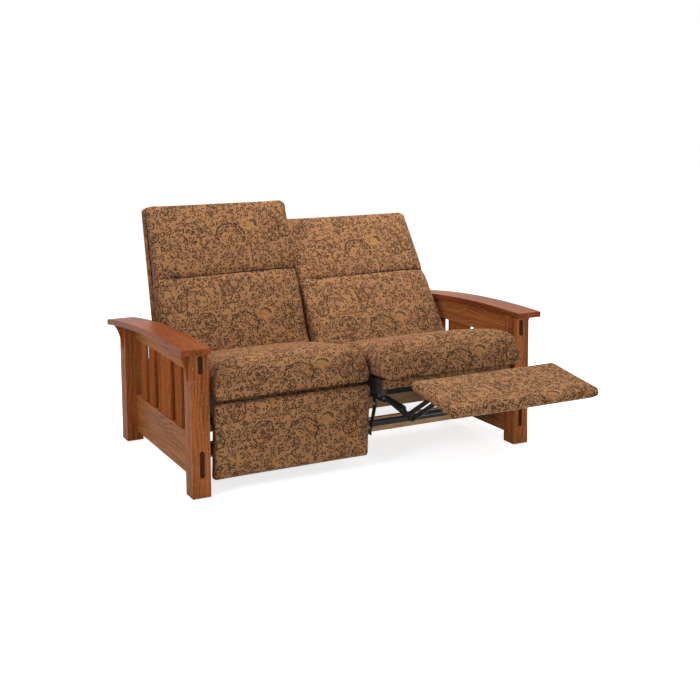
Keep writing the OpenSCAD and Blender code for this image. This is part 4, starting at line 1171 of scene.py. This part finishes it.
# %% [markdown]
# ## Things that repeat along a line
# A line of stitches or staples is one shape set down again and again, which is what Geometry Nodes are for. The
# tree takes a line of points, makes it a curve, and sets a short rounded thread along it at even spacing. Real
# geometry catches the light as a raised thread does, where a painted dash would not.

# %% Tree: threads along a line


def turned_to(w, direction):
    """The rotation that stands a shape along the direction."""
    made = w.add("FunctionNodeAlignRotationToVector", axis="Z")
    w.put(made.inputs["Vector"], direction)
    return made.outputs[0]


def set_down(w, points, shape, direction, material):
    """The tree's end: the shape on each point, made real and given its material."""
    copies = w.run("GeometryNodeInstanceOnPoints", Points=points, Instance=shape, Rotation=turned_to(w, direction))
    real = w.run("GeometryNodeRealizeInstances", Geometry=copies)
    return w.run("GeometryNodeSetMaterial", Geometry=real, Material=material)


threads_on_line, w, gi, go = new_group(
    "threads_on_line", {"Geometry": "Geometry", "Spacing": 0.005, "Length": 0.0036, "Thickness": 0.0011,
                        "Material": "Material"}, {"Geometry": "Geometry"}, "Geometry")
along = w.add("GeometryNodeCurveToPoints", mode="LENGTH")
w.fill(along.inputs, Curve=w.run("GeometryNodeMeshToCurve", Mesh=gi["Geometry"]), Length=gi["Spacing"])
thread = w.run("GeometryNodeTransform", Geometry=w.run("GeometryNodeMeshUVSphere", Segments=6, Rings=5, Radius=0.5),
               Scale=w.join(gi["Thickness"], gi["Thickness"], gi["Length"]))
w.fill(go, Geometry=set_down(w, along.outputs["Points"], thread, along.outputs["Tangent"], gi["Material"]))
print("threads tree:", len(threads_on_line.nodes), "nodes")

# %% [markdown]
# Screws go at given points instead, and each has to face out of the surface that it holds. So the points carry the
# direction as an attribute, and the tree stands a washer and a six-sided head on it.

# %% Tree: screws on points
screws_on_points, w, gi, go = new_group(
    "screws_on_points", {"Geometry": "Geometry", "Head": 0.0055, "Washer": 0.0085, "Height": 0.0036,
                         "Material": "Material"}, {"Geometry": "Geometry"}, "Geometry")
washer = w.run("GeometryNodeMeshCylinder", Vertices=20, Radius=gi["Washer"], Depth=0.0012)
head = w.run("GeometryNodeMeshCylinder", Vertices=6, Radius=gi["Head"], Depth=gi["Height"])
head = w.run("GeometryNodeTransform", Geometry=head, Translation=w.join(0.0, 0.0, gi["Height"] * 0.5))
screw = w.add("GeometryNodeJoinGeometry")
for part in (washer, head):
    w.put(screw.inputs[0], part)
facing = w.add("GeometryNodeInputNamedAttribute", data_type="FLOAT_VECTOR")
w.put(facing.inputs["Name"], "facing")
w.fill(go, Geometry=set_down(w, gi["Geometry"], screw.outputs[0], facing.outputs[0], gi["Material"]))
print("screws tree:", len(screws_on_points.nodes), "nodes")

# %% Grow a tree on a mesh


def grown(name, mesh, tree, body, slot, finish, **sizes):
    """A plain mesh grown by the tree on the mesh's points or lines, riding on the body."""
    piece = placed(name, mesh)
    growth = piece.modifiers.new("growth", "NODES")
    growth.node_group = tree
    socket_id = {row.name: row.identifier for row in tree.interface.items_tree if row.in_out == "INPUT"}
    for label, value in sizes.items():
        growth[socket_id[label]] = value
    growth[socket_id["Material"]] = finish
    plain_mesh(piece)
    piece.data.name = name
    return settle(piece, body, slot)


def lines_mesh(name, lines):
    """A mesh of open lines, each a list of points."""
    points, edges = [], []
    for line in lines:
        edges += [(len(points) + k, len(points) + k + 1) for k in range(len(line) - 1)]
        points += [tuple(p) for p in line]
    mesh = bpy.data.meshes.new(name)
    mesh.from_pydata(points, edges, [])
    return mesh


def between(a, b, step=0.012):
    a, b = Vector(a), Vector(b)
    count = max(2, round((b - a).length / step))
    return [a.lerp(b, k / count) for k in range(count + 1)]


# %% [markdown]
# The cross seam of each back gets a row of stitches above it, and the outside back one along its edges. Under each
# footrest a row of staples holds the hem. All were found on the left pieces' surfaces by dropping points on them.

# %% Stitches and staples
cover_surface, pad_surface = surface_of(cover_mesh, lean.inverted()), surface_of(pad_mesh, on_pad.inverted())
EDGE, BEHIND, INSET = BACK_HALF - 0.016, 0.1, 0.022
rear_lines = [dropped_on(cover_surface, between((x0, BEHIND, z0), (x1, BEHIND, z1)), (0, -1, 0)) for x0, z0, x1, z1 in (
    (-EDGE, 0.085, -EDGE, TOP_Z - 0.030), (EDGE, 0.085, EDGE, TOP_Z - 0.030),
    (-EDGE + 0.014, TOP_Z - 0.016, EDGE - 0.014, TOP_Z - 0.016))]
x, y0, y1 = PAD_HALF - INSET, INSET, PAD_LEN - INSET
rim = [(-x, y0, 0.1), (x, y0, 0.1), (x, y1, 0.1), (-x, y1, 0.1)]
staple_lines = [dropped_on(pad_surface, between(a, b), (0, 0, -1)) for a, b in zip(rim, rim[1:] + rim[:1])]
for side, back_move, pad_move in (("left_", lean, on_pad), ("right_", back_swap @ lean, footrest_swap @ on_pad)):
    sewn = lines_mesh(side + "stitch_lines", [[back_move @ p for p in line] for line in [seam_path] + rear_lines])
    sewn = grown(side + "back_stitches", sewn, threads_on_line, side + "back", "fabric", thread_finish,
                 Spacing=0.0052, Length=0.0038, Thickness=0.0012)
    held = lines_mesh(side + "staple_lines", [[pad_move @ p for p in line] for line in staple_lines])
    held = grown(side + "hem_staples", held, threads_on_line, side + "footrest", "rivet_steel", zinc,
                 Spacing=0.028, Length=0.011, Thickness=0.0014)
    print(side + "stitches:", len(sewn.data.polygons), "faces, staples:", len(held.data.polygons))

# %% [markdown]
# The base plates are screwed down to the bare rails through their foot flanges.

# %% Screws in the foot flanges
screw_places = []
(_, rail_front, _), (_, rail_rear, _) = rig.box("cross_rails")
for side in ("left_", "right_"):
    plates = surface_of(nodes[side + "base_plates"].data)
    (x0, _, _), (x1, _, z1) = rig.box(side + "base_plates")
    for x in (x0 + 0.015, x1 - 0.015):
        for y in (rail_front + 0.011, rail_rear - 0.011):
            screw_places += dropped_on(plates, [(x, y, z1 + 0.05)], (0, 0, -1))
screw_mesh = lines_mesh("screw_places", [[p] for p in screw_places])
layer = screw_mesh.attributes.new("facing", "FLOAT_VECTOR", "POINT")
layer.data.foreach_set("vector", np.tile((0.0, 0.0, 1.0), len(screw_places)))
grown("flange_screws", screw_mesh, screws_on_points, nodes["left_base_plates"]["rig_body"], "rivet_steel", zinc,
      Head=0.0055, Washer=0.0085, Height=0.0036)
print("flange screws:", len(screw_places))

# %% [markdown]
# ## Floor, light and camera
# A pale floor and soft light from the left, the front and above, as in a studio. The floor shows white to the
# camera and to mirror-like surfaces but keeps the settee's shadow.

# %% Floor
floor_mesh = bpy.data.meshes.new("floor")
floor_mesh.from_pydata([(-30, -30, 0), (30, -30, 0), (30, 30, 0), (-30, 30, 0)], [], [(0, 1, 2, 3)])
floor = placed("studio_floor", floor_mesh)
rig.stage(floor)


def seen_directly(w):
    """1 where the camera, a mirror or glass looks at the surface, 0 for the light that bounces off it."""
    path = w.outs(w.add("ShaderNodeLightPath"))
    return path["Is Camera Ray"] | path["Is Glossy Ray"] | path["Is Transmission Ray"]


FLOOR_GLOW, WHITE = 0.74, (1.0, 1.0, 1.0, 1.0)
floor_finish, w, skin = new_material("studio_floor")
w.fill(skin, Base_Color=(0.72, 0.72, 0.72, 1.0), Roughness=1.0, Specular_IOR_Level=0.0, Emission_Color=WHITE,
       Emission_Strength=seen_directly(w) * FLOOR_GLOW)
floor_mesh.materials.append(floor_finish)

# %% Light
ROOM_LIGHT = 0.36
world = bpy.data.worlds.new("studio")
bpy.context.scene.world = world
world.use_nodes = True
w = Wires(world.node_tree)
w.fill(world.node_tree.nodes["Background"].inputs, Color=WHITE,
       Strength=ROOM_LIGHT + seen_directly(w) * (1.0 - ROOM_LIGHT))


def soft_box(name, at, aim, size, watts):
    lamp = bpy.data.lights.new(name, "AREA")
    lamp.shape, lamp.size, lamp.energy = "SQUARE", size, watts
    made = placed(name, lamp)
    made.location = at
    made.rotation_euler = (Vector(aim) - Vector(at)).to_track_quat("-Z", "Y").to_euler()


soft_box("key_from_left", (-4.4, -1.6, 2.6), (0, 0.1, 0.5), 1.8, 88)
soft_box("fill_from_front", (1.7, -5.0, 0.9), (0.1, -0.1, 0.3), 2.2, 98)
soft_box("top", (0.3, 0.6, 3.9), (0.1, -0.3, 0.4), 2.0, 152)

# %% Camera
SENSOR, FOCAL_PX, PICTURE_PX = 36.0, 1147.0, 700
camera = placed("camera", bpy.data.cameras.new("camera"))
bpy.context.scene.camera = camera
camera.data.sensor_width, camera.data.lens, camera.data.shift_y = SENSOR, FOCAL_PX / PICTURE_PX * SENSOR, -0.17
yaw, pitch, roll = math.radians(27.386), math.radians(6.494), math.radians(-0.357)
forward = Vector((math.sin(yaw) * math.cos(pitch), math.cos(yaw) * math.cos(pitch), -math.sin(pitch)))
right = Vector((math.cos(yaw), -math.sin(yaw), 0.0))
up = right.cross(forward)
right, up = right * math.cos(roll) + up * math.sin(roll), up * math.cos(roll) - right * math.sin(roll)
camera.matrix_world = Matrix.Translation((-2.358, -4.549, 1.630)) @ Matrix((right, up, -forward)).transposed().to_4x4()
bpy.context.scene.view_settings.view_transform = "Standard"

# %% Sizes of the solids and of the dressed settee
json.dump({"cad": [list(c) for c in cad_box], "visual": [list(c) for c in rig.bounds()]}, open("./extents.json", "w"))
print(open("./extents.json").read())
